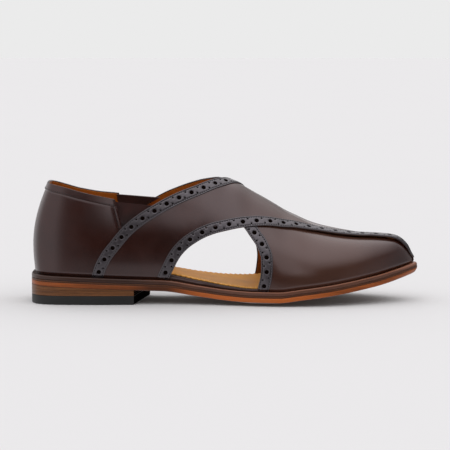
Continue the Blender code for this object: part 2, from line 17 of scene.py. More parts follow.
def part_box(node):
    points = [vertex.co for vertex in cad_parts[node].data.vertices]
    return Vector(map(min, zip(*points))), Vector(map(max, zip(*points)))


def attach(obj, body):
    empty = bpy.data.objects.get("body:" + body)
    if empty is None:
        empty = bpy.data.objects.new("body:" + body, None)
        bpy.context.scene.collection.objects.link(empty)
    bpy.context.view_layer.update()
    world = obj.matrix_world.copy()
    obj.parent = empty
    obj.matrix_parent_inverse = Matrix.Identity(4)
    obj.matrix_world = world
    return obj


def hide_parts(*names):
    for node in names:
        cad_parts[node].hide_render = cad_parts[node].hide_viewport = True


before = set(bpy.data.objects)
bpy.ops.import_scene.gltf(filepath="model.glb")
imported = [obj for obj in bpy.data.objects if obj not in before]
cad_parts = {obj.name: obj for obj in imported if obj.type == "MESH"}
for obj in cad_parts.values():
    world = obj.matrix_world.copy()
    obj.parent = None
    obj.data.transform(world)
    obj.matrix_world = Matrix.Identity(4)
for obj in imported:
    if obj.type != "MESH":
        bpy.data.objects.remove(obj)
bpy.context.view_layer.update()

bl_info = {
    "name": "Crossed-strap chappal",
    "version": (1, 0, 0),
    "blender": (4, 5, 0),
    "location": "3D View > Sidebar > Chappal",
    "description": "Builds the leathers, stitches, sole and studio of a crossed-strap chappal",
    "category": "Object",
}

# Sizes of the last and the sole, as the solids have them
SHOE_LENGTH = 0.305
BALL_WIDTH = 0.102
OUTSOLE_THICKNESS = 0.0048
WELT_THICKNESS = 0.0033
HEEL_HEIGHT = 0.0148
HEEL_TIP_THICKNESS = 0.0070
HEEL_BREAST = 0.0815
HEEL_BREAST_SKEW = 0.0105
TOE_SPRING = 0.0225
FOREPART_DOME = 0.0030
LAYER_GAP = 0.0003
INSOLE_THICKNESS = 0.0042
INNER_RISE = 0.0037
SOCK_THICKNESS = 0.0010
WELT_MARGIN = 0.0048
INSOLE_MARGIN = WELT_MARGIN + 0.0004
SOCK_MARGIN = INSOLE_MARGIN + 0.0020
INSTEP_HEIGHT = 0.0787
HEEL_CURVE_LEAN = 0.0108
HEEL_CURVE_BULGE = 0.0060
HEEL_CURVE_REACH = 0.30
COLLAR_RISE = 0.72
UPPER_THICKNESS = 0.0018
STRAP_LIFT = 0.0010
STRAP_STEP = 0.0012
STRAP_RISE_START = 0.12
STRAP_RISE_END = 0.36
STRAP_BOW = 0.0010
BOW_START = 0.38
BOW_RISE = 0.18
BOW_FALL = 0.14
BOW_END = 0.76
FOOT_TUCK = 0.0013
FOOT_TUCK_HEIGHT = 0.0026
FEATHER_REACH = 0.014
FEATHER_ROLL = 0.004
FEATHER_DRAW = 0.6
DOME_START = 0.55

# Outline of the sole: along as a share of SHOE_LENGTH, across as a share of BALL_WIDTH
OUTLINE = (
    (0.000, 0.000), (0.001, -0.110), (0.005, -0.188), (0.022, -0.272), (0.055, -0.318),
    (0.110, -0.337), (0.190, -0.342), (0.310, -0.325), (0.430, -0.338), (0.540, -0.405),
    (0.640, -0.456), (0.740, -0.445), (0.840, -0.362), (0.920, -0.240), (0.975, -0.118),
    (1.000, 0.000), (0.977, 0.124), (0.925, 0.250), (0.850, 0.378), (0.760, 0.470),
    (0.680, 0.494), (0.580, 0.432), (0.470, 0.305), (0.360, 0.255), (0.250, 0.290),
    (0.160, 0.324), (0.100, 0.320), (0.052, 0.298), (0.021, 0.256), (0.005, 0.180),
    (0.001, 0.108),
)

# Underside of the sole: along, share of HEEL_HEIGHT, of TOE_SPRING, of FOREPART_DOME, of INSOLE_THICKNESS
# and of INNER_RISE
SOLE_STATIONS = (
    (0.000, 1.000, 0.000, 0.00, 0.72, 0.00), (0.150, 0.872, 0.000, 0.00, 0.80, 0.00),
    (0.300, 0.743, 0.000, 0.00, 1.00, 0.02), (0.340, 0.709, 0.000, 0.05, 1.00, 0.08),
    (0.435, 0.375, 0.000, 0.35, 0.82, 0.48), (0.510, 0.130, 0.000, 0.70, 0.62, 0.84),
    (0.575, 0.000, 0.000, 1.00, 0.52, 1.00), (0.635, 0.000, 0.000, 1.00, 0.50, 0.92),
    (0.690, 0.000, 0.095, 0.95, 0.50, 0.68), (0.740, 0.000, 0.205, 0.72, 0.50, 0.42),
    (0.790, 0.000, 0.325, 0.52, 0.50, 0.20), (0.843, 0.000, 0.455, 0.48, 0.50, 0.06),
    (0.898, 0.000, 0.630, 0.20, 0.50, 0.00), (0.950, 0.000, 0.820, 0.05, 0.50, 0.00),
    (1.000, 0.000, 1.000, 0.00, 0.50, 0.00),
)

# Sections of the last: along, crest, lead, shift, round, outer bulge, inner bulge
LAST_SECTIONS = (
    (0.000, 1.268, 0.0000, 0.000, 0.75, 0.10, 0.10), (0.160, 1.240, 0.0000, 0.000, 0.75, 0.10, 0.11),
    (0.320, 1.154, 0.0000, 0.010, 0.90, 0.12, 0.24), (0.410, 1.108, 0.0000, 0.020, 1.05, 0.13, 0.36),
    (0.460, 1.070, 0.0000, 0.028, 1.10, 0.12, 0.36), (0.494, 1.035, 0.0000, 0.030, 1.10, 0.10, 0.30),
    (0.525, 1.003, 0.0000, 0.030, 1.08, 0.09, 0.24), (0.565, 0.932, 0.0000, 0.030, 1.05, 0.07, 0.17),
    (0.617, 0.821, 0.0000, 0.028, 1.00, 0.05, 0.09), (0.671, 0.693, 0.0000, 0.025, 0.95, 0.03, 0.05),
    (0.728, 0.562, 0.0010, 0.022, 0.90, 0.02, 0.03), (0.783, 0.469, 0.0050, 0.018, 0.85, 0.02, 0.02),
    (0.835, 0.400, 0.0120, 0.014, 0.80, 0.02, 0.02), (0.885, 0.343, 0.0200, 0.010, 0.76, 0.02, 0.02),
    (0.925, 0.285, 0.0250, 0.006, 0.74, 0.02, 0.02), (0.955, 0.194, 0.0200, 0.003, 0.74, 0.02, 0.02),
    (0.978, 0.089, 0.0110, 0.001, 0.74, 0.02, 0.02), (0.992, 0.035, 0.0040, 0.000, 0.74, 0.02, 0.02),
    (1.000, 0.000, 0.0000, 0.000, 0.74, 0.02, 0.02),
)

# The over strap from the outer heel side to the inner toe side: run, then the along and girth of its
# rear edge and of its front edge. The under strap is the same with the two sides exchanged, and the last
# two columns are its own rear edge.
STRAP_LINES = (
    (0.00, 0.148, 0.000, 0.350, 0.000, 0.148, 0.000), (0.05, 0.158, 0.060, 0.364, 0.065, 0.158, 0.060),
    (0.10, 0.175, 0.125, 0.381, 0.140, 0.175, 0.125), (0.15, 0.200, 0.195, 0.405, 0.210, 0.199, 0.197),
    (0.20, 0.232, 0.280, 0.438, 0.278, 0.230, 0.286), (0.25, 0.272, 0.362, 0.477, 0.342, 0.269, 0.372),
    (0.30, 0.318, 0.443, 0.520, 0.400, 0.314, 0.458), (0.35, 0.372, 0.548, 0.572, 0.484, 0.369, 0.564),
    (0.40, 0.426, 0.680, 0.630, 0.578, 0.422, 0.701), (0.45, 0.472, 0.845, 0.694, 0.690, 0.467, 0.862),
    (0.50, 0.507, 1.050, 0.755, 0.774, 0.494, 1.065), (0.55, 0.530, 1.270, 0.820, 0.797, 0.513, 1.290),
    (0.60, 0.545, 1.450, 0.880, 0.826, 0.531, 1.485), (0.65, 0.558, 1.585, 0.925, 0.809, 0.560, 1.584),
    (0.70, 0.577, 1.675, 0.950, 0.770, 0.584, 1.668), (0.75, 0.588, 1.755, 0.968, 0.740, 0.595, 1.750),
    (0.80, 0.591, 1.820, 1.000, 0.750, 0.596, 1.820), (0.88, 0.589, 1.900, 1.000, 1.100, 0.593, 1.900),
    (0.94, 0.586, 1.950, 1.000, 1.500, 0.589, 1.950), (1.00, 0.582, 2.000, 1.000, 2.000, 0.586, 2.000),
)

# Collar of the quarter: along, outer girth and inner girth, from the back of the heel to its front corner
COLLAR = (
    (0.000, 0.497, 0.497), (0.050, 0.485, 0.473), (0.100, 0.465, 0.452), (0.160, 0.446, 0.441),
    (0.208, 0.436, 0.445),
)
QUARTER_FRONT_TOP = 0.208
QUARTER_FRONT_FOOT = 0.262

# Corners of the elastic gore: along and girth
GORE_REAR_TOP = (0.204, 0.423)
GORE_FRONT_TOP_GIRTH = 0.435
INNER_GORE_REAR_TOP = (0.204, 0.439)
INNER_GORE_FRONT_TOP_GIRTH = 0.465
GORE_REAR_FOOT = (0.222, 0.235)
GORE_FRONT_FOOT_GIRTH = 0.240
GORE_OVERLAP = 0.007
GORE_GAP = 0.0003
GORE_THICKNESS = 0.0012
GORE_RIBS = 34
GORE_RIB_DEPTH = 0.00016

# Fine sizes of the looks: quarter and linings
QUARTER_TOP_INSET = 0.0011
QUARTER_LINING_TOP = 0.00065
QUARTER_LINING_THICKNESS = 0.0006
QUARTER_STITCH_INSET = 0.0009
FRONT_STITCH_INSET = 0.0024
STRAP_EDGE_RADIUS = 0.00025
STRAP_LINING_GAP = 0.00002
STRAP_LINING_REAR = 0.0010
STRAP_LINING_FRONT = 0.0040
STRAP_LINING_RADIUS = 0.00012
LINING_END_START = 0.60
LINING_END_REACH = 0.12
LINING_END_GAIN = 3.0

# Fine sizes of the looks: bands, heel and bottom
SOLE_EDGE_RADIUS = 0.0007
WELT_EDGE_RADIUS = 0.0010
INSOLE_EDGE_RADIUS = 0.0006
LIFT_HEIGHT = 0.0065
LIFT_SEAM_LEVELS = (0.34, 0.67)
LIFT_SEAM_WIDTH = 0.00035
LIFT_SEAM_DEPTH = 0.00018
OUTSOLE_TOE_ROUND = (0.0024, 0.0)
WELT_TOE_ROUND = (0.0, 0.0016)
TOE_ROUND_START = 0.90
TOE_ROUND_REACH = 0.09
INSOLE_RIDGE = (0.40, 0.0011, -0.00040)
PINKING_DEPTH = 0.4
CDT_SCALE = 1000.0
CDT_NEAR = 1e-5
CAMERA_AIM = (0.1525, 0.0, 0.0593)
WELD_DISTANCE = 2e-6
SHARP_ANGLE = math.radians(50.0)
HAIR_GAP = 0.00005
STITCH_BOW = 0.00012
CORNER_RADIUS = 0.0003
FOLD_HEIGHT = 0.0005
FOLD_SLOPE = 0.0005
FRONT_STRIP = 0.0032
LINING_INSET = 0.0007
BAND_SEAM = 0.00115
SEAM_GROOVE = 0.00026
PINHOLE_ASIDE = 0.0022
HOLE_RIM = 0.0002
HOLE_RIM_DROP = 0.00016
BACKING_TOP = 0.00022
LINE_POINTS = 420
LOWER_PLY = OUTSOLE_THICKNESS * 0.76


# ---------------------------------------------------------------- the last


def ease(value):
    """Smooth step from 0 to 1."""
    share = np.clip(value, 0.0, 1.0)
    return share * share * (3.0 - 2.0 * share)


def monotone_curve(positions, values):
    """A smooth curve through the points that never overshoots them, read at one place or many."""
    spans = np.diff(positions)
    slopes = np.diff(values) / spans
    tangents = np.zeros(len(positions))
    tangents[0] = slopes[0]
    tangents[-1] = slopes[-1]
    for i in range(1, len(positions) - 1):
        if slopes[i - 1] * slopes[i] > 0.0:
            ahead = 2.0 * spans[i] + spans[i - 1]
            behind = spans[i] + 2.0 * spans[i - 1]
            tangents[i] = (ahead + behind) / (ahead / slopes[i - 1] + behind / slopes[i])

    def value_at(place):
        place = np.clip(place, positions[0], positions[-1])
        i = np.clip(np.searchsorted(positions, place, side="right") - 1, 0, len(spans) - 1)
        t = (place - positions[i]) / spans[i]
        start = (1.0 + 2.0 * t) * (1.0 - t) ** 2 * values[i]
        start += t * (1.0 - t) ** 2 * spans[i] * tangents[i]
        end = t * t * (3.0 - 2.0 * t) * values[i + 1]
        return start + end + t * t * (t - 1.0) * spans[i] * tangents[i + 1]

    return value_at


def table_curves(rows, names):
    """One smooth curve for each column of a table, over its first column."""
    table = np.array(rows)
    return {name: monotone_curve(table[:, 0], table[:, k + 1]) for k, name in enumerate(names)}


SOLE_CURVES = table_curves(SOLE_STATIONS, ("heel", "toe", "dome", "board", "rise"))
LAST_CURVES = table_curves(LAST_SECTIONS, ("crest", "lead", "shift", "round", "outer", "inner"))
STRAP_CURVES = table_curves(
    STRAP_LINES,
    ("over_along", "over_girth", "front_along", "front_girth", "under_along", "under_girth"),
)
COLLAR_CURVES = table_curves(COLLAR, ("outer", "inner"))


def collar_girth(along, inner):
    """The collar's girth on the outer or the inner side, each counted from its own feather edge."""
    return np.where(inner, COLLAR_CURVES["inner"](along), COLLAR_CURVES["outer"](along))


def outline_line(steps=16):
    """The sole's outline as a dense closed line, by Catmull-Rom arcs through its points."""
    points = np.array(OUTLINE) * (SHOE_LENGTH, BALL_WIDTH)
    t = (np.arange(steps) / steps)[:, None]
    arcs = []
    for i in range(len(points)):
        before, start, end, after = (points[(i + k) % len(points)] for k in (-1, 0, 1, 2))
        arcs.append(
            0.5
            * (
                2.0 * start
                + (end - before) * t
                + (2.0 * before - 5.0 * start + 4.0 * end - after) * t**2
                + (3.0 * start - before - 3.0 * end + after) * t**3
            )
        )
    return np.concatenate(arcs)


def inward_normals(line):
    """Unit normals of a closed anticlockwise line, towards its inside."""
    tangent = np.roll(line, -1, axis=0) - np.roll(line, 1, axis=0)
    tangent /= np.linalg.norm(tangent, axis=1)[:, None]
    return np.stack([-tangent[:, 1], tangent[:, 0]], axis=1)


class PlanOutline:
    """The sole's outline drawn in by a margin, read as the two sides' places at a station."""

    def __init__(self, margin):
        line = outline_line()
        self.line = line + inward_normals(line) * margin
        toe = int(np.argmax(self.line[:, 0]))
        self.outer = self.line[: toe + 1]
        self.inner = np.concatenate([self.line[toe:], self.line[:1]])[::-1]
        self.back = float(self.outer[0, 0])
        self.front = float(self.outer[-1, 0])

    def sides(self, x):
        """The outer and inner y of the outline at x."""
        outer = np.interp(x, self.outer[:, 0], self.outer[:, 1])
        return outer, np.interp(x, self.inner[:, 0], self.inner[:, 1])


SOLE_OUTLINE = PlanOutline(0.0)
LAST_OUTLINE = PlanOutline(WELT_MARGIN)

# The tables start at the heel's back; the frame's origin is under the middle of the shoe
OUTSOLE_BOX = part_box("outsole")
SHIFT = np.array(
    [
        OUTSOLE_BOX[0].x - SOLE_OUTLINE.back,
        OUTSOLE_BOX[0].y - SOLE_OUTLINE.line[:, 1].min(),
        0.0,
    ]
)


def outsole_underside(x, y):
    """Height of the outsole's underside."""
    along = x / SHOE_LENGTH
    outer, inner = SOLE_OUTLINE.sides(x)
    reach = np.abs(2.0 * y - outer - inner) / np.maximum(inner - outer, LAYER_GAP)
    dome = np.maximum(0.0, (np.minimum(reach, 1.0) - DOME_START) / (1.0 - DOME_START))
    rise = HEEL_HEIGHT * SOLE_CURVES["heel"](along) + TOE_SPRING * SOLE_CURVES["toe"](along)
    return rise + FOREPART_DOME * SOLE_CURVES["dome"](along) * dome


def outsole_top(x, y):
    return outsole_underside(x, y) + OUTSOLE_THICKNESS


def welt_underside(x, y):
    return outsole_top(x, y) + LAYER_GAP


def welt_top(x, y):
    return welt_underside(x, y) + WELT_THICKNESS


def insole_underside(x, y):
    return welt_top(x, y) + LAYER_GAP


def insole_top(x, y):
    """The board is thickest under the arch and cups up beside the inner edge of the foot."""
    along = x / SHOE_LENGTH
    outer, inner = SOLE_OUTLINE.sides(x)
    reach = np.clip((2.0 * y - outer - inner) / np.maximum(inner - outer, LAYER_GAP), 0.0, 1.0)
    cup = INNER_RISE * SOLE_CURVES["rise"](along) * reach**2
    return insole_underside(x, y) + INSOLE_THICKNESS * SOLE_CURVES["board"](along) + cup


def sock_underside(x, y):
    return insole_top(x, y) + LAYER_GAP


def sock_top(x, y):
    return sock_underside(x, y) + SOCK_THICKNESS


def heel_curve(rise):
    """How far the last's back runs forward of its feather edge at a rise of 0 to 1."""
    turn = np.minimum(rise / COLLAR_RISE, 1.0)
    return HEEL_CURVE_LEAN * rise / COLLAR_RISE - HEEL_CURVE_BULGE * np.sin(math.pi * turn)


def last_points(along, girth):
    """Points on the last for arrays of along and girth."""
    along, girth = np.broadcast_arrays(np.asarray(along, float), np.asarray(girth, float))
    x = LAST_OUTLINE.back + (LAST_OUTLINE.front - LAST_OUTLINE.back) * along
    outer, inner = LAST_OUTLINE.sides(x)
    on_outer = girth <= 1.0
    side = np.where(on_outer, outer, inner)
    angle = np.where(on_outer, girth, 2.0 - girth) * math.pi / 2.0
    rise = np.sin(angle)
    bulge = np.where(on_outer, LAST_CURVES["outer"](along), LAST_CURVES["inner"](along))
    width = np.maximum(np.cos(angle), 0.0) ** LAST_CURVES["round"](along)
    width = width * (1.0 + bulge * np.sin(math.pi * rise))
    foot_z = insole_underside(x, side)
    crest_y = np.minimum(np.maximum(LAST_CURVES["shift"](along) * BALL_WIDTH, outer), inner)
    crest_z = insole_underside(x, crest_y) + LAST_CURVES["crest"](along) * INSTEP_HEIGHT
    fade = np.maximum(0.0, 1.0 - along / HEEL_CURVE_REACH) ** 2
    return np.stack(
        [
            x + LAST_CURVES["lead"](along) * SHOE_LENGTH * rise + heel_curve(rise) * fade,
            crest_y + (side - crest_y) * width,
            foot_z + (crest_z - foot_z) * rise,
        ],
        axis=-1,
    )


def feather_heights(points):
    """How high points of the last stand above the feather edge."""
    return points[..., 2] - insole_underside(points[..., 0], points[..., 1])


def unit(vectors):
    """The vectors at length 1."""
    return vectors / np.maximum(np.linalg.norm(vectors, axis=-1, keepdims=True), 1e-12)


def last_normals(along, girth):
    """The last's outward directions, level at the feather edge."""
    along, girth = np.broadcast_arrays(np.asarray(along, float), np.asarray(girth, float))
    step = 0.002
    ahead = last_points(np.minimum(along + step, 1.0), girth) - last_points(
        np.maximum(along - step, 0.0), girth
    )
    sideways = np.zeros(along.shape + (3,))
    sideways[..., 1] = np.where(girth > 1.0, 1.0, -1.0)
    ahead = np.where((along < step)[..., None], sideways, ahead)
    around = last_points(along, np.minimum(girth + step, 2.0)) - last_points(
        along, np.maximum(girth - step, 0.0)
    )
    normal = np.cross(ahead, around)
    normal[..., 2] *= ease(feather_heights(last_points(along, girth)) / FEATHER_ROLL)
    toe = np.zeros(3)
    toe[0] = 1.0
    return np.where((along > 0.9995)[..., None], toe, unit(normal))


def skin(along, girth, ply, proud):
    """Points of the upper in the row frame: ply is the height of a layer over the last, drawn in towards
    the feather edge, and proud the height over that layer."""
    base = last_points(along, girth)
    height = feather_heights(base)
    drawn_in = FEATHER_DRAW + (1.0 - FEATHER_DRAW) * ease(height / FEATHER_REACH)
    tuck = FOOT_TUCK * ease(1.0 - height / FOOT_TUCK_HEIGHT)
    point = base + last_normals(along, girth) * (ply * drawn_in + proud - tuck)[..., None]
    near_foot = np.maximum(0.0, 1.0 - height / FEATHER_REACH) ** 2
    lift = welt_top(point[..., 0], point[..., 1]) - welt_top(base[..., 0], base[..., 1])
    point[..., 2] += lift * near_foot
    return point + SHIFT


# ---------------------------------------------------------------- meshes


def new_piece(name, points, faces, finish, slot_name, replaced=()):
    """A smooth mesh object that rides on the shoe."""
    mesh = bpy.data.meshes.new(name)
    mesh.from_pydata([tuple(p) for p in points], [], [tuple(f) for f in faces])
    work = bmesh.new()
    work.from_mesh(mesh)
    bmesh.ops.remove_doubles(work, verts=work.verts, dist=WELD_DISTANCE)
    bmesh.ops.dissolve_degenerate(work, edges=work.edges, dist=1e-6)
    bmesh.ops.recalc_face_normals(work, faces=work.faces)
    work.to_mesh(mesh)
    work.free()
    mesh.shade_smooth()
    mesh.set_sharp_from_angle(angle=SHARP_ANGLE)
    item = bpy.data.objects.new(name, mesh)
    bpy.context.scene.collection.objects.link(item)
    mesh.materials.append(bpy.data.materials[finish])
    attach(item, "root")
    if replaced:
        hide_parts(*replaced)
    return item


def shell(outside, inside):
    """Points and faces of a closed wall between two grids of points."""
    rows, columns = outside.shape[:2]
    count = rows * columns
    points = np.concatenate([outside.reshape(-1, 3), inside.reshape(-1, 3)])
    at = np.arange(count).reshape(rows, columns)
    quads = np.stack([at[:-1, :-1], at[:-1, 1:], at[1:, 1:], at[1:, :-1]], axis=-1).reshape(-1, 4)
    border = np.concatenate([at[0, :-1], at[:-1, -1], at[-1, :0:-1], at[:0:-1, 0]])
    ahead = np.roll(border, -1)
    rims = np.stack([ahead, border, border + count, ahead + count], axis=-1)
    return points, np.concatenate([quads, quads[:, ::-1] + count, rims])


def edge_drop(distance, radius):
    """How far a rounded border of that radius drops at a distance from its edge."""
    share = np.clip(distance / radius, 0.0, 1.0)
    return radius * (1.0 - np.sqrt(np.maximum(0.0, 1.0 - (1.0 - share) ** 2)))


def edge_places(length, radius, count):
    """Places across a length: close together at both rounded ends, even between them."""
    near = radius * np.array([0.0, 0.08, 0.28, 0.6, 1.0])
    middle = radius + (length - 2.0 * radius) * np.arange(1, count) / count
    return np.concatenate([near, middle, length - near[::-1]])


# ---------------------------------------------------------------- straps


def strap_ply(run, over):
    """Height of a strap's layer over the last."""
    rise = ease((run - STRAP_RISE_START) / (STRAP_RISE_END - STRAP_RISE_START))
    bow = ease((run - BOW_START) / BOW_RISE) * ease((BOW_END - run) / BOW_FALL)
    return STRAP_LIFT + (STRAP_STEP * rise + STRAP_BOW * bow if over else 0.0 * rise)


def strap_places(run, share, over):
    """The along and girth of places on a strap: run from heel to toe, share from rear to front edge."""
    rear = "over" if over else "under"
    along = STRAP_CURVES[rear + "_along"](run)
    girth = STRAP_CURVES[rear + "_girth"](run)
    along = along + (STRAP_CURVES["front_along"](run) - along) * share
    girth = girth + (STRAP_CURVES["front_girth"](run) - girth) * share
    return along, girth if over else 2.0 - girth


def strap_rear_along(girth, over):
    """The along of a strap's rear edge at a girth counted from its own feather edge."""
    run = np.linspace(0.0, 0.5, 101)
    rear = "over" if over else "under"
    at = np.interp(girth, STRAP_CURVES[rear + "_girth"](run), run)
    return STRAP_CURVES[rear + "_along"](at)


def strap_lengths(run, over):
    """Length of the lines across a strap."""
    samples = last_points(*strap_places(run[:, None], np.linspace(0.0, 1.0, 25)[None, :], over))
    return np.linalg.norm(np.diff(samples, axis=1), axis=2).sum(axis=1)


def strap_sheet(over, top, thickness, inset_rear, inset_front, radius):
    """A leather sheet of a strap: its top lies at a height over the strap's layer, and its rounded edges
    stand back from the strap's own."""
    run = np.linspace(0.0, 1.0, 201)
    length = strap_lengths(run, over)
    count = 44
    # The lining ends well short of the toe, where the strap's cut edge is dyed dark
    toe_end = ease((run - LINING_END_START) / LINING_END_REACH)
    inset_front = inset_front * (1.0 + LINING_END_GAIN * toe_end)[:, None]
    spans = length - inset_rear - inset_front[:, 0]
    places = np.array([inset_rear + edge_places(span, radius, count) for span in spans])
    along, girth = strap_places(run[:, None], places / length[:, None], over)
    near = np.minimum(places - inset_rear, length[:, None] - inset_front - places)
    drop = edge_drop(near, radius)
    ply = strap_ply(run, over)[:, None] + 0.0 * places
    outside = skin(along, girth, ply, top - drop)
    inside = skin(along, girth, ply, top - thickness + drop)
    return shell(outside, inside)


def edge_offsets(over, front, run_start, run_end, width, count=420, steps=18):
    """Lines that run beside a strap's edge on its top face. Returns the arc length of the middle line and
    the along, girth and ply of each place, with distance from the edge as the second index."""
    run = np.linspace(run_start, run_end, count)
    ply = strap_ply(run, over)
    along, girth = strap_places(run, float(front), over)
    inner_along, inner_girth = strap_places(run, 0.9 if front else 0.1, over)

    def surface(a, g):
        return skin(np.clip(a, 0.0, 1.0), g, ply, UPPER_THICKNESS + 0.0 * a)

    def slopes(a, g):
        small = 0.0015
        by_along = (surface(a + small, g) - surface(a - small, g)) / (
            np.clip(a + small, 0, 1) - np.clip(a - small, 0, 1)
        )[:, None]
        by_girth = (surface(a, g + small) - surface(a, g - small)) / (2.0 * small)
        return by_along, by_girth

    edge = surface(along, girth)
    tangent = unit(np.gradient(edge, axis=0))
    by_along, by_girth = slopes(along, girth)
    normal = unit(np.cross(by_along, by_girth))
    across = unit(np.cross(normal, tangent))
    inwards = surface(inner_along, inner_girth) - edge
    across *= np.sign((across * inwards).sum(axis=1))[:, None]
    alongs = [along]
    girths = [girth]
    step = width / steps
    for _ in range(steps):
        by_along, by_girth = slopes(along, girth)
        normal = unit(np.cross(by_along, by_girth))
        across = unit(across - normal * (across * normal).sum(axis=1)[:, None])
        aa = (by_along * by_along).sum(axis=1)
        gg = (by_girth * by_girth).sum(axis=1)
        ag = (by_along * by_girth).sum(axis=1)
        ta = (by_along * across).sum(axis=1)
        tg = (by_girth * across).sum(axis=1)
        scale = step / np.maximum(aa * gg - ag * ag, 1e-12)
        along = along + scale * (ta * gg - tg * ag)
        girth = girth + scale * (tg * aa - ta * ag)
        alongs.append(along)
        girths.append(girth)
    alongs = np.array(alongs).T
    girths = np.array(girths).T
    middle = surface(alongs[:, steps // 2], girths[:, steps // 2])
    arc = np.concatenate([[0.0], np.cumsum(np.linalg.norm(np.diff(middle, axis=0), axis=1))])
    return arc, alongs, girths, ply


class EdgeStrip:
    """A strip beside a strap's edge: points from the distance run along it and the distance from the edge."""

    def __init__(self, over, front, run_start, run_end, width):
        self.width = width
        self.arc, self.alongs, self.girths, self.ply = edge_offsets(
            over, front, run_start, run_end, width
        )
        self.length = float(self.arc[-1])

    def points(self, s, t, proud):
        """Points at arc length s, at distance t from the edge and at a height over the strap's leather."""
        row = np.clip(np.interp(s, self.arc, np.arange(len(self.arc))), 0, len(self.arc) - 1.001)
        column = np.clip(t / self.width, 0.0, 1.0) * (self.alongs.shape[1] - 1.001)
        i, j = row.astype(int), column.astype(int)
        u, v = row - i, column - j

        def read(table):
            low = table[i, j] * (1.0 - v) + table[i, j + 1] * v
            return low * (1.0 - u) + (table[i + 1, j] * (1.0 - v) + table[i + 1, j + 1] * v) * u

        along = np.clip(read(self.alongs), 0.0, 1.0)
        girth = np.clip(read(self.girths), 0.0, 2.0)
        ply = self.ply[i] * (1.0 - u) + self.ply[i + 1] * u
        return skin(along, girth, ply, UPPER_THICKNESS + proud)


def triangulate(points, edges, kind):
    """Flat triangles through points in metres that keep the edges, as points and faces."""
    scaled = [Vector((x * CDT_SCALE, y * CDT_SCALE)) for x, y in points]
    found, _, faces, _, _, _ = delaunay_2d_cdt(scaled, edges, [], kind, CDT_NEAR, False)
    return np.array([(p.x, p.y) for p in found]) / CDT_SCALE, faces


def tile_triangles(pitch, rows, holes, rings):
    """Flat triangles of one repeat of the band, with its holes left out, as points and faces."""
    columns = 12
    kept = [
        (pitch * k / columns, t)
        for t in rows
        for k in range(columns + 1)
        if all(math.dist((pitch * k / columns, t), (x, y)) > r * 1.15 + 0.00025 for x, y, r, _ in holes)
    ]
    edges = []
    for x, y, radius, sides in holes:
        turn = [2.0 * math.pi * k / sides for k in range(sides)]
        for ring in rings:
            start = len(kept)
            kept += [(x + (radius + ring) * math.cos(a), y + (radius + ring) * math.sin(a)) for a in turn]
            edges += [(start + k, start + (k + 1) % sides) for k in range(sides)]
    flat, faces = triangulate(kept, edges, 0)
    solid = []
    for face in faces:
        middle = flat[list(face)].mean(axis=0)
        if all(math.dist(middle, (x, y)) > radius for x, y, radius, _ in holes):
            solid.append(face)
    return flat, np.array(solid)


def repeat_tile(flat, faces, pitch, count):
    """The tile laid end to end, with the points that its repeats share merged."""
    points = np.concatenate([flat + (pitch * k, 0.0) for k in range(count)])
    tiles = np.concatenate([faces + len(flat) * k for k in range(count)])
    keys = np.round(points * 1e6).astype(np.int64)
    _, first, place = np.unique(keys, axis=0, return_index=True, return_inverse=True)
    return points[first], place.reshape(-1)[tiles]


def raise_flat(faces, top, bottom):
    """Faces of a plate between two sets of points that share one flat mesh, with walls at its borders."""
    count = len(top)
    sides = np.concatenate([faces[:, [0, 1]], faces[:, [1, 2]], faces[:, [2, 0]]])
    keys = {(int(a), int(b)) for a, b in sides}
    open_sides = [(a, b) for a, b in keys if (b, a) not in keys]
    walls = [(b, a, a + count, b + count) for a, b in open_sides]
    points = np.concatenate([top, bottom])
    return points, [tuple(f) for f in faces] + [tuple(f[::-1] + count) for f in faces] + walls


def threads(starts, ends, ups, radius, bow):
    """Small stitches: a thread from each start to its end that bows up in the middle."""
    shares = np.array([0.0, 0.1, 0.5, 0.9, 1.0])
    widths = np.array([0.35, 0.85, 1.0, 0.85, 0.35]) * radius
    heights = np.array([-1.0, -0.1, 1.0, -0.1, -1.0]) * bow
    sides = 6
    along = unit(ends - starts)
    across = unit(np.cross(along, ups))
    rings = []
    for share, wide, high in zip(shares, widths, heights):
        middle = starts + (ends - starts) * share + ups * high
        for k in range(sides):
            turn = 2.0 * math.pi * k / sides
            rings.append(middle + across * wide * math.cos(turn) + ups * wide * math.sin(turn))
    points = np.stack(rings, axis=1)
    size = points.shape[1]
    faces = []
    for ring in range(len(shares) - 1):
        for k in range(sides):
            a, b = ring * sides + k, ring * sides + (k + 1) % sides
            faces.append((a, b, b + sides, a + sides))
    faces.append(tuple(range(sides))[::-1])
    faces.append(tuple(range(size - sides, size)))
    every = []
    for n in range(len(points)):
        every += [tuple(i + n * size for i in face) for face in faces]
    return points.reshape(-1, 3), every


def stitch_row(strip, distance, proud, settings, start=0.0, end=None):
    """Stitches along a strip at a distance from its edge."""
    end = strip.length if end is None else end
    pitch = settings.stitch_pitch
    centres = np.arange(start + pitch, end - pitch * 0.5, pitch)
    half = settings.stitch_length / 2.0
    t = np.full(len(centres), distance)
    h = np.full(len(centres), proud)
    starts = strip.points(centres - half, t, h)
    ends = strip.points(centres + half, t, h)
    ups = unit(strip.points(centres, t, h + 0.001) - strip.points(centres, t, h))
    return threads(starts, ends, ups, settings.thread_radius, STITCH_BOW)


def join_parts(parts):
    """One list of points and faces from several."""
    points, faces, offset = [], [], 0
    for part_points, part_faces in parts:
        points.append(part_points)
        faces += [tuple(int(i) + offset for i in face) for face in part_faces]
        offset += len(part_points)
    return np.concatenate(points), faces


# ---------------------------------------------------------------- flat layers of the bottom


def line_arc(line):
    """Arc length at each point of a closed line, and its whole length."""
    steps = np.linalg.norm(np.roll(line, -1, axis=0) - line, axis=1)
    return np.concatenate([[0.0], np.cumsum(steps)[:-1]]), float(steps.sum())


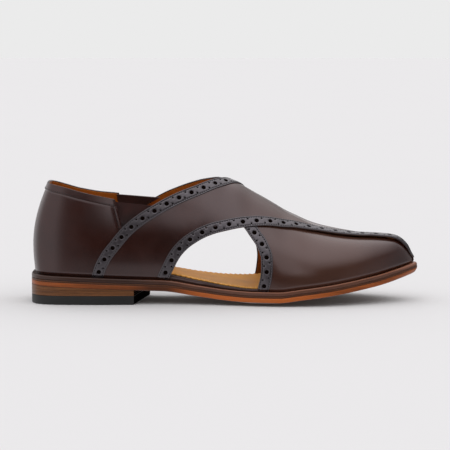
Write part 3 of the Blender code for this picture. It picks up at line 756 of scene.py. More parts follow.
def resample(line, count):
    """The closed line with its points spaced evenly."""
    arc, whole = line_arc(line)
    places = np.arange(count) * whole / count
    x = np.interp(places, np.append(arc, whole), np.append(line[:, 0], line[0, 0]))
    return np.stack([x, np.interp(places, np.append(arc, whole), np.append(line[:, 1], line[0, 1]))], 1)


def plate(line, profile, underside, top, spacing=0.004, inward=None, toe_round=(0.0, 0.0)):
    """A closed layer inside a closed line. profile lists (inset, level) from the bottom edge to the top
    edge: inset from the line in metres and level as a share of the layer's height. toe_round is how far
    the bottom and the top edge stand back at the toe."""
    inward = inward_normals(line) if inward is None else inward
    count = len(line)
    at_toe = ease((line[:, 0] / SHOE_LENGTH - TOE_ROUND_START) / TOE_ROUND_REACH)
    rings = []
    for inset, level in profile:
        low_round, high_round = toe_round
        rounded = low_round * (1.0 - level) ** 2 + high_round * level**2
        ring = line + inward * (inset + rounded * at_toe)[:, None]
        low, high = underside(ring[:, 0], ring[:, 1]), top(ring[:, 0], ring[:, 1])
        rings.append(np.column_stack([ring, low + (high - low) * level]))
    points = np.concatenate(rings)
    faces = []
    for k in range(len(rings) - 1):
        for i in range(count):
            n = (i + 1) % count
            faces.append((k * count + i, k * count + n, (k + 1) * count + n, (k + 1) * count + i))
    for ring, height, flip in ((0, underside, True), (len(rings) - 1, top, False)):
        border = rings[ring][:, :2]
        low, high = border.min(axis=0), border.max(axis=0)
        outline = np.vstack([border, border[:1]])
        grid = [
            (x, y)
            for x in np.arange(low[0], high[0], spacing)
            for y in np.arange(low[1], high[1], spacing)
            if inside_line(x, y, outline, spacing * 0.4)
        ]
        edges = [(i, (i + 1) % count) for i in range(count)]
        flat_points, triangles = triangulate([tuple(p) for p in border] + grid, edges, 1)
        offset = len(points)
        lift = height(flat_points[:, 0], flat_points[:, 1])
        points = np.concatenate([points, np.column_stack([flat_points, lift])])
        for triangle in triangles:
            # The triangulation fills the line's hull: those in its hollows are left out
            if inside_line(*flat_points[list(triangle)].mean(axis=0), outline, 0.0):
                ids = [i + offset for i in triangle]
                faces.append(tuple(ids[::-1] if flip else ids))
    return points + SHIFT, faces


def inside_line(x, y, outline, margin):
    """Whether a point lies inside a closed line and at least a margin from its points."""
    ax, ay = outline[:-1, 0], outline[:-1, 1]
    bx, by = outline[1:, 0], outline[1:, 1]
    crosses = (ay > y) != (by > y)
    with np.errstate(divide="ignore", invalid="ignore"):
        at = (bx - ax) * (y - ay) / (by - ay) + ax
    if int((crosses & (x < at)).sum()) % 2 == 0:
        return False
    return float(np.hypot(ax - x, ay - y).min()) > margin


def heel_line():
    """The heel's plan: the outline behind the slanting breast line, evenly spaced."""
    line = outline_line()
    outer_y, inner_y = SOLE_OUTLINE.sides(HEEL_BREAST)

    def breast_x(y):
        return HEEL_BREAST + HEEL_BREAST_SKEW * (y - outer_y) / (inner_y - outer_y)

    behind = np.array([p for p in line if p[0] < breast_x(p[1]) - LAYER_GAP])
    outer = behind[behind[:, 1] <= 0.0]
    inner = behind[behind[:, 1] > 0.0]
    front = HEEL_BREAST + HEEL_BREAST_SKEW
    ends = np.array([[HEEL_BREAST, outer_y], [front, SOLE_OUTLINE.sides(front)[1]]])
    breast = ends[0] + (ends[1] - ends[0]) * np.linspace(0.0, 1.0, 24)[:, None]
    outer = outer[np.argsort(outer[:, 0])]
    inner = inner[np.argsort(-inner[:, 0])]
    return np.concatenate([outer, breast, inner])


def rounded_profile(height, radius, grooves=()):
    """Insets and levels of an edge with rounded corners and grooves cut into it."""
    turn = [(0.0, 1.0), (0.08, 0.6), (0.3, 0.28), (0.62, 0.07), (1.0, 0.0)]
    low = [(radius * b, radius * a / height) for a, b in turn]
    high = [(inset, 1.0 - level) for inset, level in reversed(low)]
    middle = []
    for level, width, depth in grooves:
        half = width / 2.0 / height
        middle += [(0.0, level - half), (depth, level - half * 0.4), (depth, level + half * 0.4)]
        middle += [(0.0, level + half)]
    return [(radius + 0.001, 0.0)] + low + middle + high + [(radius + 0.001, 1.0)]


# ---------------------------------------------------------------- finishes


UNDERSIDE_BROWN = (0.10, 0.062, 0.046, 1.0)


class NodeTree:
    """Adds nodes to a tree. A value is a number, a colour or another node's output."""

    def __init__(self, tree):
        self.tree = tree

    def plug(self, socket, value):
        if isinstance(value, bpy.types.NodeSocket):
            self.tree.links.new(value, socket)
        else:
            socket.default_value = value

    def add(self, kind, **values):
        node = self.tree.nodes.new(kind)
        for key, value in values.items():
            if key in node.inputs:
                self.plug(node.inputs[key], value)
            else:
                setattr(node, key, value)
        return node

    def spread(self, value, low, high, to_low=0.0, to_high=1.0, curve="LINEAR"):
        """The value mapped from one range to another."""
        node = self.add("ShaderNodeMapRange", interpolation_type=curve, Value=value)
        limits = {"From Min": low, "From Max": high, "To Min": to_low, "To Max": to_high}
        for key, number in limits.items():
            node.inputs[key].default_value = number
        return node.outputs["Result"]

    def combine(self, kind, first, second):
        node = self.add("ShaderNodeMath", operation=kind)
        self.plug(node.inputs[0], first)
        self.plug(node.inputs[1], second)
        return node.outputs[0]

    def sum(self, first, second):
        return self.combine("ADD", first, second)

    def product(self, first, second):
        return self.combine("MULTIPLY", first, second)

    def larger(self, first, second):
        return self.combine("MAXIMUM", first, second)


class Nodes(NodeTree):
    """The nodes of a new material."""

    def __init__(self, name):
        self.material = bpy.data.materials.new(name)
        self.material.use_nodes = True
        super().__init__(self.material.node_tree)
        self.shader = self.tree.nodes["Principled BSDF"]
        self.place = self.add("ShaderNodeTexCoord").outputs["Object"]

    def stretched(self, scale):
        """The place with each axis scaled."""
        return self.add("ShaderNodeMapping", Vector=self.place, Scale=scale).outputs["Vector"]

    def lengthwise(self):
        """The place along the shoe, in metres from its middle."""
        return self.add("ShaderNodeSeparateXYZ", Vector=self.place).outputs["X"]

    def zone(self, start, full_from, full_to, end):
        """A share that is full between two places along the shoe and fades out on both sides."""
        place = self.lengthwise()
        return self.product(self.spread(place, start, full_from), self.spread(place, end, full_to))

    def upward(self):
        """How far the surface faces up, from -1 to 1."""
        facing = self.add("ShaderNodeNewGeometry").outputs["Normal"]
        return self.add("ShaderNodeSeparateXYZ", Vector=facing).outputs["Z"]

    def clouded(self, share, colour, dark, light):
        """The colour between a darker and a lighter tone, by a noise."""
        return self.blend(self.spread(share, 0.3, 0.7), shade(colour, dark), shade(colour, light))

    def noise(self, scale, detail=3.0, roughness=0.5, place=None):
        values = {"Vector": place or self.place, "Scale": scale, "Detail": detail, "Roughness": roughness}
        return self.add("ShaderNodeTexNoise", **values).outputs["Fac"]

    def cells(self, scale):
        """Distance to the borders of small cells."""
        node = self.add("ShaderNodeTexVoronoi", feature="DISTANCE_TO_EDGE", Vector=self.place)
        node.inputs["Scale"].default_value = scale
        return node.outputs["Distance"]

    def wave(self, scale, direction, distortion=0.0):
        values = {"Vector": self.place, "Scale": scale, "Distortion": distortion}
        return self.add("ShaderNodeTexWave", bands_direction=direction, **values).outputs["Fac"]

    def blend(self, share, first, second):
        """A mix of two colours."""
        node = self.add("ShaderNodeMix", data_type="RGBA")
        for socket, value in ((0, share), (6, first), (7, second)):
            self.plug(node.inputs[socket], value)
        return node.outputs[2]

    def bump(self, height, strength, distance, under=None):
        node = self.add("ShaderNodeBump", Height=height, Strength=strength, Distance=distance)
        if under is not None:
            self.plug(node.inputs["Normal"], under)
        return node.outputs["Normal"]

    def finish(self, colour=None, roughness=None, normal=None, **constants):
        """Links the shader's inputs and sets its constant values."""
        for key, value in (("Base Color", colour), ("Roughness", roughness), ("Normal", normal)):
            if value is not None:
                self.plug(self.shader.inputs[key], value)
        for key, value in constants.items():
            self.shader.inputs[key.replace("_", " ")].default_value = value
        return self.material


def shade(colour, share):
    """The colour made lighter or darker, with full opacity."""
    return tuple(min(c * share, 1.0) for c in colour[:3]) + (1.0,)


def polished_leather(
    name,
    colour,
    roughness,
    mottling=0.35,
    grain=0.14,
    tint=(1.0, 0.86, 0.88, 1.0),
    shine=0.65,
    heel_share=1.0,
    forepart=None,
    top_highlight=1.0,
):
    """Burnished calf: cloudy dye, fine pores and a wax polish. The heel_share darkens the colour towards the
    heel, the forepart is another colour towards the ball of the foot, and top_highlight is a painted
    highlight that lightens what faces up."""
    n = Nodes(name)
    cloud = n.noise(26.0, 4.0, 0.55)
    fine = n.noise(160.0, 3.0, 0.6)
    tone = n.clouded(cloud, colour, 1.0 - mottling, 1.0 + mottling)
    tone = n.blend(n.spread(fine, 0.35, 0.75, 0.0, 0.12), tone, shade(colour, 0.55))
    # Painted highlight: what faces up is lightened by top_highlight
    if top_highlight > 1.0:
        tone = n.blend(n.spread(n.upward(), 0.15, 0.75), tone, shade(colour, top_highlight))
    if forepart is not None:
        tone = n.blend(n.product(n.zone(0.0, 0.06, 0.10, 0.135), 0.85), tone, forepart)
    # Darker towards the heel, by the heel_share
    if heel_share < 1.0:
        heel = n.spread(n.lengthwise(), -0.075, -0.02, 1.0, 0.0)
        tone = n.blend(heel, tone, shade(colour, heel_share))
    pores = n.cells(1500.0)
    creases = n.noise(420.0, 2.0, 0.6)
    height = n.sum(n.spread(pores, 0.0, 0.25, 0.0, 0.4), n.spread(creases, 0.3, 0.7, 0.0, 0.6))
    slow = n.noise(55.0, 2.0, 0.5)
    normal = n.bump(height, grain, 0.00004, n.bump(slow, 0.1, 0.0004))
    rough = n.spread(n.noise(70.0, 3.0, 0.6), 0.3, 0.7, roughness - 0.03, roughness + 0.04)
    return n.finish(
        tone,
        rough,
        normal,
        Specular_IOR_Level=shine,
        Specular_Tint=tint,
        Coat_Weight=0.2,
        Coat_Roughness=0.12,
    )


def matt_dye(name, colour):
    """Dark dye on raw leather, without any shine. Here it also paints shade: in the brogue holes and on the
    heel's breast.
    """
    n = Nodes(name)
    cloud = n.noise(60.0, 3.0, 0.6)
    tone = n.clouded(cloud, colour, 0.7, 1.3)
    rough = n.spread(cloud, 0.3, 0.7, 0.9, 1.0)
    return n.finish(tone, rough, n.bump(n.noise(900.0), 0.3, 0.0001), Specular_IOR_Level=0.0)


def lining_leather(name, colour, roughness=0.55, shine=0.35):
    """Undyed lining leather with a soft nap and small darker clouds."""
    n = Nodes(name)
    cloud = n.noise(34.0, 4.0, 0.6)
    tone = n.clouded(cloud, colour, 0.82, 1.12)
    fibre = n.noise(900.0, 3.0, 0.6)
    pores = n.cells(1100.0)
    height = n.sum(n.spread(pores, 0.0, 0.3), n.spread(fibre, 0.3, 0.7, 0.0, 0.8))
    rough = n.spread(cloud, 0.3, 0.7, roughness - 0.06, roughness + 0.08)
    return n.finish(tone, rough, n.bump(height, 0.35, 0.00010), Specular_IOR_Level=shine)


def sole_edge_leather(name, colour, dark, roughness=0.36, waist_gain=1.0):
    """The waxed edge of stacked sole leather: long streaks that run round the shoe, and a worn dark
    underside. The waist_gain lightens the edge under the arch."""
    n = Nodes(name)
    streak = n.noise(16.0, 5.0, 0.65, n.stretched((1.0, 1.0, 26.0)))
    thin = n.noise(40.0, 3.0, 0.7, n.stretched((1.0, 1.0, 40.0)))
    fleck = n.noise(220.0, 3.0, 0.6, n.stretched((1.0, 1.0, 3.0)))
    tone = n.blend(n.spread(streak, 0.34, 0.66), dark, colour)
    tone = n.blend(n.spread(thin, 0.45, 0.75, 0.0, 0.5), tone, shade(colour, 1.35))
    tone = n.blend(n.spread(fleck, 0.5, 0.8, 0.0, 0.45), tone, shade(dark, 0.7))
    if waist_gain > 1.0:
        tone = n.blend(n.zone(-0.07, 0.0, 0.05, 0.10), tone, shade(colour, waist_gain))
        heel = n.product(n.zone(-0.13, -0.10, -0.05, -0.02), 0.6)
        tone = n.blend(heel, tone, shade(colour, 0.35))
        shank = n.product(n.zone(-0.075, -0.058, -0.045, -0.028), 0.8)
        tone = n.blend(shank, tone, shade(dark, 0.3))
    tone = n.blend(n.spread(n.upward(), -0.75, -0.95), tone, UNDERSIDE_BROWN)
    rough = n.spread(streak, 0.3, 0.7, roughness - 0.05, roughness + 0.1)
    height = n.sum(n.spread(thin, 0.3, 0.7), n.spread(fleck, 0.3, 0.7, 0.0, 0.5))
    normal = n.bump(height, 0.25, 0.00012)
    return n.finish(tone, rough, normal, Specular_IOR_Level=0.3, Coat_Weight=0.06, Coat_Roughness=0.3)


def ribbed_elastic(name, colour):
    """Elastic webbing: fine cross threads between its ribs."""
    n = Nodes(name)
    cross = n.wave(420.0, "Z", distortion=0.6)
    cloud = n.noise(120.0, 3.0, 0.6)
    tone = n.clouded(cloud, colour, 0.7, 1.25)
    tone = n.blend(n.spread(cross, 0.2, 0.8, 0.0, 0.35), tone, shade(colour, 0.5))
    rough = n.spread(cloud, 0.3, 0.7, 0.75, 0.92)
    normal = n.bump(cross, 0.4, 0.00012)
    return n.finish(tone, rough, normal, Specular_IOR_Level=0.2, Sheen_Weight=0.15, Sheen_Roughness=0.5)


def moulded_rubber(name, colour):
    """Matt moulded rubber with a slight pebble."""
    n = Nodes(name)
    cloud = n.noise(60.0, 3.0, 0.5)
    pebble = n.noise(1400.0, 2.0, 0.5)
    tone = n.clouded(cloud, colour, 0.85, 1.2)
    rough = n.spread(cloud, 0.3, 0.7, 0.5, 0.62)
    return n.finish(tone, rough, n.bump(pebble, 0.3, 0.00008), Specular_IOR_Level=0.4)


def waxed_thread(name, colour):
    """Waxed sewing thread with a twist."""
    n = Nodes(name)
    twist = n.wave(900.0, "DIAGONAL")
    tone = n.blend(n.spread(twist, 0.2, 0.8), shade(colour, 0.7), shade(colour, 1.2))
    rough = n.spread(twist, 0.0, 1.0, 0.5, 0.65)
    return n.finish(tone, rough, n.bump(twist, 0.4, 0.00008))


# ---------------------------------------------------------------- settings


def size(name, description, default):
    """A length that a user may change."""
    return FloatProperty(
        name=name,
        description=description,
        default=default,
        min=0.0,
        subtype="DISTANCE",
        unit="LENGTH",
    )


def colour(name, description, default):
    """A colour that a user may change."""
    return FloatVectorProperty(
        name=name,
        description=description,
        default=(*default, 1.0),
        size=4,
        min=0.0,
        max=1.0,
        subtype="COLOR",
    )


def brightness(name, description, default):
    """The strength of one of the studio's lights."""
    return FloatProperty(name=name, description="Brightness of " + description, default=default, min=0.0)


class ChappalUpperSettings(bpy.types.PropertyGroup):
    """Sizes and colours of the leathers."""

    leather: colour("Leather", "Burnished calf of the quarter and straps", (0.025, 0.0062, 0.0036))
    burnish: colour("Burnish", "Lighter brown over the forepart", (0.066, 0.029, 0.019))
    band_leather: colour("Band leather", "Darker calf of the brogued bands", (0.016, 0.0125, 0.014))
    # Near-black backing in the brogue holes: partly a real backing, partly painted shade
    hole_backing_and_shade: colour("Edge dye", "Dark backing seen through the brogue holes", (0.004, 0.002, 0.0015))
    lining: colour("Lining", "Undyed lining leather", (0.34, 0.095, 0.005))
    elastic: colour("Elastic", "Ribbed elastic of the gores", (0.036, 0.010, 0.008))
    thread: colour("Thread", "Waxed sewing thread", (0.003, 0.002, 0.002))
    leather_thickness: size("Leather thickness", "Thickness of the strap leather", 0.00060)
    lining_thickness: size("Lining thickness", "Thickness of the lining leather", 0.00034)
    band_width: size("Band width", "Width of the brogued bands", 0.0090)
    band_thickness: size("Band thickness", "Height of the bands over the straps", 0.00065)
    brogue_pitch: size("Brogue pitch", "Distance between two large holes", 0.0112)
    brogue_radius: size("Brogue radius", "Radius of the large holes", 0.00172)
    pinhole_radius: size("Pinhole radius", "Radius of the small holes", 0.00070)
    stitch_pitch: size("Stitch pitch", "Distance from stitch to stitch", 0.00190)
    stitch_length: size("Stitch length", "Length of one stitch", 0.00120)
    thread_radius: size("Thread radius", "Radius of the sewing thread", 0.00028)
    topline_depth: size("Topline depth", "Depth of the folded topline", 0.0065)


class ChappalSoleSettings(bpy.types.PropertyGroup):
    """Sizes and colours of the bottom."""

    welt: colour("Welt", "Dyed welt leather", (0.098, 0.038, 0.020))
    outsole: colour("Outsole", "Waxed sole leather", (0.340, 0.080, 0.011))
    middle_ply: colour("Middle ply", "Dyed upper edge of the outsole", (0.095, 0.030, 0.010))
    stack: colour("Heel stack", "Burnished heel lifts", (0.172, 0.064, 0.019))
    rubber: colour("Heel tip", "Moulded rubber", (0.011, 0.011, 0.0105))
    board: colour("Insole cover", "Dark leather round the insole board", (0.040, 0.018, 0.014))
    sock: colour("Sock", "Lining leather of the sock", (0.94, 0.46, 0.115))
    pinking: size("Pinking pitch", "Distance between the points of the sock's pinked edge", 0.0042)


class ChappalStageSettings(bpy.types.PropertyGroup):
    """The studio."""

    backdrop: brightness("Backdrop", "the backdrop as the camera sees it", 0.831)
    overhead: brightness("Ceiling", "the soft light overhead", 1.45)
    softbox: brightness("Softbox", "the ceiling as the leathers reflect it", 1.8)
    window: brightness("Window", "the window in front as the leathers reflect it", 1.25)
    reflector: brightness("Reflector", "the reflector behind the heel", 0.85)
    backlight: brightness("Backlight", "the sweep as the leathers reflect it", 0.85)
    fill: brightness("Fill", "the soft light from all round", 0.52)
    walls: brightness("Side walls", "the reflectors on both sides", 0.55)
    sweep: brightness("Sweep", "the paper sweep behind the shoe", 1.1)
    table: brightness("Table", "the table as the leathers reflect it", 0.75)
    room: brightness("Room", "the dark room behind the camera", 0.02)
    light_colour: colour("Light", "Colour of the studio light", (1.0, 0.985, 1.0))
    camera_lens: FloatProperty(
        name="Lens",
        description="Focal length on a 36 mm sensor",
        default=161.6,
        min=1.0,
        subtype="DISTANCE_CAMERA",
    )
    camera_distance: size("Camera distance", "Distance from the camera to the shoe", 1.6)
    camera_elevation: FloatProperty(
        name="Elevation",
        description="Height of the camera over the shoe",
        default=math.radians(5.5),
        subtype="ANGLE",
        unit="ROTATION",
    )


# ---------------------------------------------------------------- makers


def quarter_lines(turn):
    """The quarter's top along and girth, its foot along and its height, round the heel from -1 to 1."""
    top_along = QUARTER_FRONT_TOP * turn * turn
    foot_along = QUARTER_FRONT_FOOT * turn * turn
    top_girth = collar_girth(top_along, turn > 0.0)
    height = np.linalg.norm(last_points(top_along, top_girth) - last_points(foot_along, 0.0), axis=1)
    return top_along, top_girth, foot_along, height


def quarter_grid(settings, top, thickness, inset_top, inset_front, raised):
    """A sheet of the quarter between its feather edge and its collar."""
    radius = min(CORNER_RADIUS, thickness / 2.0)
    turn = np.linspace(-1.0, 1.0, 161)
    top_along, top_girth, foot_along, height = quarter_lines(turn)
    shares = []
    for h in height:
        up_to = h - inset_top
        fold = up_to - settings.topline_depth
        near_fold = fold + np.array([-0.0004, -0.0001, 0.0002, 0.0006])
        near_top = up_to - radius * np.array([1.0, 0.6, 0.28, 0.08, 0.0])
        lower = np.linspace(0.0, fold - 0.0012, 66)
        middle = np.linspace(fold + 0.0012, up_to - radius * 1.5, 10)
        shares.append(np.concatenate([lower, near_fold, middle, near_top]) / h)
    shares = np.array(shares)
    distance = height[:, None] * (1.0 - shares) - inset_top
    girth = top_girth[:, None] * shares
    along = foot_along[:, None] + (top_along - foot_along)[:, None] * shares
    side = turn[:, None]
    # The front edges stand back by the inset: along is measured from the edge
    front_edge = QUARTER_FRONT_FOOT + (QUARTER_FRONT_TOP - QUARTER_FRONT_FOOT) * shares
    reach = (front_edge - along) * (LAST_OUTLINE.front - LAST_OUTLINE.back)
    along = np.maximum(along - ease(1.0 - reach / 0.01) * inset_front / SHOE_LENGTH, 0.0)
    drop = edge_drop(distance, radius) + edge_drop(np.maximum(reach, 0.0), radius)
    fold_rise = raised * ease((settings.topline_depth - distance) / FOLD_SLOPE + 0.5)
    strip_rise = raised * 0.8 * ease((FRONT_STRIP - reach) / FOLD_SLOPE + 0.5)
    seam = 0.00025 * np.exp(-(((distance - settings.topline_depth - 0.0006) / 0.0005) ** 2))
    proud = top - drop + np.maximum(fold_rise, strip_rise) - (seam if raised else 0.0)
    girth = np.where(side > 0.0, 2.0 - girth, girth)
    ply = np.zeros_like(girth)
    outside = skin(along, girth, ply, proud)
    inside = skin(along, girth, ply, top - thickness + np.minimum(drop, thickness * 0.45))
    return outside, inside


def make_quarter(settings):
    """The closed quarter round the heel, with its folded topline, and its lining."""
    sheet = shell(*quarter_grid(settings, UPPER_THICKNESS, QUARTER_TOP_INSET, 0.0, 0.0, FOLD_HEIGHT))
    new_piece("quarter_leather", *sheet, "burnished_calf", "upper")
    thickness = QUARTER_LINING_THICKNESS
    grid = quarter_grid(settings, QUARTER_LINING_TOP, thickness, LINING_INSET, LINING_INSET, 0.0)
    sheet = shell(*grid)
    new_piece("quarter_lining", *sheet, "lining_leather", "upper")


def make_straps(settings):
    """The two crossing straps, each a dark leather over its lining."""
    lining_top = UPPER_THICKNESS - settings.leather_thickness - STRAP_LINING_GAP
    for name, over in (("over_strap", True), ("under_strap", False)):
        leather = settings.leather_thickness
        sheet = strap_sheet(over, UPPER_THICKNESS, leather, 0.0, 0.0, STRAP_EDGE_RADIUS)
        new_piece(name + "_leather", *sheet, "burnished_calf", "upper", ("upper",) if over else ())
        edges = (STRAP_LINING_REAR, STRAP_LINING_FRONT, STRAP_LINING_RADIUS)
        sheet = strap_sheet(over, lining_top, settings.lining_thickness, *edges)
        new_piece(name + "_lining", *sheet, "lining_leather", "upper")


# Bands: piece, whether it is on the over strap, whether it is along the front edge, start and end of its run
BANDS = (
    ("over_strap_rear_band", True, False, 0.0, 1.0),
    ("over_strap_front_band", True, True, 0.0, 0.78),
    ("under_strap_rear_band", False, False, 0.0, 1.0),
    ("under_strap_front_band", False, True, 0.0, 0.78),
)


def make_bands(settings):
    """The brogued bands along the straps' edges, their dark backing, which also paints the shade in the
    holes, and their stitch rows.
    """
    width = settings.band_width
    rows = [0.0, 0.00010, 0.00030, 0.0007, 0.00095, BAND_SEAM, 0.00135, 0.0018, 0.0027]
    rows = rows + [width / 2.0] + [width - t for t in reversed(rows)]
    for name, over, front, run_start, run_end in BANDS:
        strip = EdgeStrip(over, front, run_start, run_end, width)
        count = max(1, round(strip.length / settings.brogue_pitch))
        pitch = strip.length / count
        middle = width / 2.0
        holes = (
            (pitch / 2.0, middle, settings.brogue_radius, 20),
            (pitch * 0.09, middle - PINHOLE_ASIDE, settings.pinhole_radius, 10),
            (pitch * 0.88, middle + PINHOLE_ASIDE, settings.pinhole_radius, 10),
        )
        flat, faces = tile_triangles(pitch, rows, holes, (0.0, HOLE_RIM))
        flat, faces = repeat_tile(flat, faces, pitch, count)
        s, t = flat[:, 0], flat[:, 1]
        near = np.minimum(t, width - t)
        drop = edge_drop(near, CORNER_RADIUS)
        drop = drop + SEAM_GROOVE * np.exp(-(((near - BAND_SEAM) / 0.00034) ** 2))
        in_tile = np.mod(s, pitch)
        for x, y, radius, _ in holes:
            away = np.hypot(in_tile - x, t - y) - radius
            drop = drop + HOLE_RIM_DROP * np.clip(1.0 - away / HOLE_RIM, 0.0, 1.0)
        top = strip.points(s, t, settings.band_thickness - drop)
        bottom = strip.points(s, t, np.full(len(s), 0.00012))
        new_piece(name, *raise_flat(faces, top, bottom), "band_calf", "upper")
        # The near-black sheet under the band: partly a real backing, partly painted shade in the holes
        grid_s, grid_t = np.meshgrid(
            np.linspace(0.0, strip.length, 260), np.linspace(0.0005, width - 0.0005, 9), indexing="ij"
        )
        high = strip.points(grid_s, grid_t, np.full(grid_s.shape, BACKING_TOP))
        low = strip.points(grid_s, grid_t, np.full(grid_s.shape, 0.00001))
        new_piece(name + "_backing", *shell(high, low), "dark_backing", "upper")
        proud = settings.band_thickness - 0.00016
        threads_of_band = [stitch_row(strip, d, proud, settings) for d in (BAND_SEAM, width - BAND_SEAM)]
        new_piece(name + "_stitches", *join_parts(threads_of_band), "waxed_thread", "upper")


def make_gores(settings):
    """The ribbed elastic gores."""
    run = np.linspace(0.0, 1.0, 241)[:, None]
    drop = np.linspace(0.0, 1.0, 25)[None, :]
    for name, mirrored in (("outer_gore_elastic", False), ("inner_gore_elastic", True)):
        top = np.array(INNER_GORE_REAR_TOP if mirrored else GORE_REAR_TOP)
        front_top_girth = INNER_GORE_FRONT_TOP_GIRTH if mirrored else GORE_FRONT_TOP_GIRTH
        rear = top[:, None, None] + (np.array(GORE_REAR_FOOT) - top)[:, None, None] * drop
        front_girth = front_top_girth + (GORE_FRONT_FOOT_GIRTH - front_top_girth) * drop
        front = np.stack([strap_rear_along(front_girth, not mirrored) + GORE_OVERLAP, front_girth])
        along, girth = rear + (front - rear) * run
        girth = 2.0 - girth if mirrored else girth
        ribs = GORE_RIB_DEPTH * np.cos(2.0 * math.pi * GORE_RIBS * run) + 0.0 * drop
        ply = np.zeros_like(along)
        outside = skin(along, girth, ply, -GORE_GAP + ribs)
        inside = skin(along, girth, ply, -GORE_GAP - GORE_THICKNESS - ribs)
        node = "inner_gore" if mirrored else "outer_gore"
        new_piece(name, *shell(outside, inside), "ribbed_elastic", "gore", (node,))


class QuarterLine:
    """A line on the quarter, read as the strips are."""

    def measure(self, places):
        self.places = places
        steps = np.linalg.norm(np.diff(self.place(places, 0.0), axis=0), axis=1)
        self.arc = np.concatenate([[0.0], np.cumsum(steps)])
        self.length = float(self.arc[-1])

    def points(self, s, t, proud):
        return self.place(np.interp(s, self.arc, self.places), proud)


class TopLine(QuarterLine):
    """A line at a distance below the collar."""

    def __init__(self, depth):
        self.depth = depth
        self.measure(np.linspace(-1.0, 1.0, 400))

    def place(self, turn, proud):
        top_along, top_girth, foot_along, height = quarter_lines(turn)
        share = 1.0 - self.depth / height
        along = foot_along + (top_along - foot_along) * share
        girth = np.where(turn > 0.0, 2.0 - top_girth * share, top_girth * share)
        return skin(along, girth, np.zeros_like(girth), UPPER_THICKNESS + proud + 0.0 * girth)


class FrontLine(QuarterLine):
    """A line at a distance behind the front edge."""

    def __init__(self, inner, inset):
        self.inner = inner
        self.inset = inset
        self.measure(np.linspace(0.30, 0.955, 200))

    def place(self, share, proud):
        along = QUARTER_FRONT_FOOT + (QUARTER_FRONT_TOP - QUARTER_FRONT_FOOT) * share
        along = along - self.inset / SHOE_LENGTH
        girth = collar_girth(QUARTER_FRONT_TOP, self.inner) * share
        girth = 2.0 - girth if self.inner else girth
        return skin(along, girth, np.zeros_like(girth), UPPER_THICKNESS + proud + 0.0 * girth)


def make_stitching(settings):
    """The stitch rows of the quarter."""
    rows = [stitch_row(TopLine(settings.topline_depth - QUARTER_STITCH_INSET), 0.0, 0.0004, settings)]
    for side in (False, True):
        rows.append(stitch_row(FrontLine(side, FRONT_STITCH_INSET), 0.0, 0.0003, settings))
    new_piece("quarter_stitches", *join_parts(rows), "waxed_thread", "upper")


def make_heel(settings):
    """The rubber heel tip and the stacked lifts over it."""
    line = heel_line()

    def floor(x, y):
        return 0.0 * x

    def tip_top(x, y):
        return 0.0 * x + HEEL_TIP_THICKNESS

    def stack_low(x, y):
        return 0.0 * x + HEEL_TIP_THICKNESS + HAIR_GAP

    def stack_high(x, y):
        return outsole_underside(x, 0.0 * y) - HAIR_GAP

    layer = plate(line, rounded_profile(HEEL_TIP_THICKNESS, SOLE_EDGE_RADIUS), floor, tip_top)
    tip = new_piece("heel_tip_rubber", *layer, "moulded_rubber", "heel_tip", ("heel_tip",))
    seams = [(level, LIFT_SEAM_WIDTH, LIFT_SEAM_DEPTH) for level in LIFT_SEAM_LEVELS]
    layer = plate(line, rounded_profile(LIFT_HEIGHT, CORNER_RADIUS, seams), stack_low, stack_high)
    lifts = new_piece("heel_lifts", *layer, "heel_lift_edge", "heel_stack", ("heel_stack",))
    # The breast faces, towards the toe, get a near-black matt finish: partly the breast's dye, partly painted
    # shade
    for item in (tip, lifts):
        item.data.materials.append(bpy.data.materials["breast_dye"])
        for face in item.data.polygons:
            if face.normal.x > 0.9:
                face.material_index = 1


def make_bottom(settings):
    """The outsole's two plies and the welt."""
    line = resample(SOLE_OUTLINE.line, LINE_POINTS)

    def up_to_welt(x, y):
        return outsole_top(x, y) + LAYER_GAP - 0.00004

    def up_to_seam(x, y):
        return outsole_underside(x, y) + LOWER_PLY

    def over_seam(x, y):
        return up_to_seam(x, y) + 0.00003

    profile = rounded_profile(LOWER_PLY, SOLE_EDGE_RADIUS)
    layer = plate(line, profile, outsole_underside, up_to_seam, toe_round=OUTSOLE_TOE_ROUND)
    new_piece("outsole_leather", *layer, "sole_edge", "outsole", ("outsole",))
    layer = plate(line, rounded_profile(OUTSOLE_THICKNESS - LOWER_PLY, CORNER_RADIUS), over_seam, up_to_welt)
    new_piece("outsole_middle_ply", *layer, "middle_ply_edge", "outsole")
    profile = rounded_profile(WELT_THICKNESS, WELT_EDGE_RADIUS)
    layer = plate(line, profile, welt_underside, welt_top, toe_round=WELT_TOE_ROUND)
    new_piece("welt_leather", *layer, "welt_leather", "welt", ("welt",))


def make_footbed(settings):
    """The covered insole board and the pinked sock."""
    line = resample(PlanOutline(INSOLE_MARGIN).line, LINE_POINTS)
    profile = rounded_profile(INSOLE_THICKNESS * 0.7, INSOLE_EDGE_RADIUS, (INSOLE_RIDGE,))
    layer = plate(line, profile, insole_underside, insole_top)
    new_piece("insole_cover", *layer, "insole_cover", "insole", ("insole",))
    line = PlanOutline(SOCK_MARGIN).line
    count = 4 * round(line_arc(line)[1] / settings.pinking)
    line = resample(line, count)
    inward = inward_normals(line)
    depth = settings.pinking * PINKING_DEPTH
    tooth = depth * np.abs(np.mod(np.arange(count), 4) - 2) / 2.0
    profile = [(0.0002, 0.0), (0.0, 0.15), (0.0, 0.8), (0.00012, 1.0), (0.0016, 1.0)]
    layer = plate(line + inward * tooth[:, None], profile, sock_underside, sock_top, inward=inward)
    new_piece("sock_leather", *layer, "sock_leather", "sock", ("sock",))


# ---------------------------------------------------------------- stage


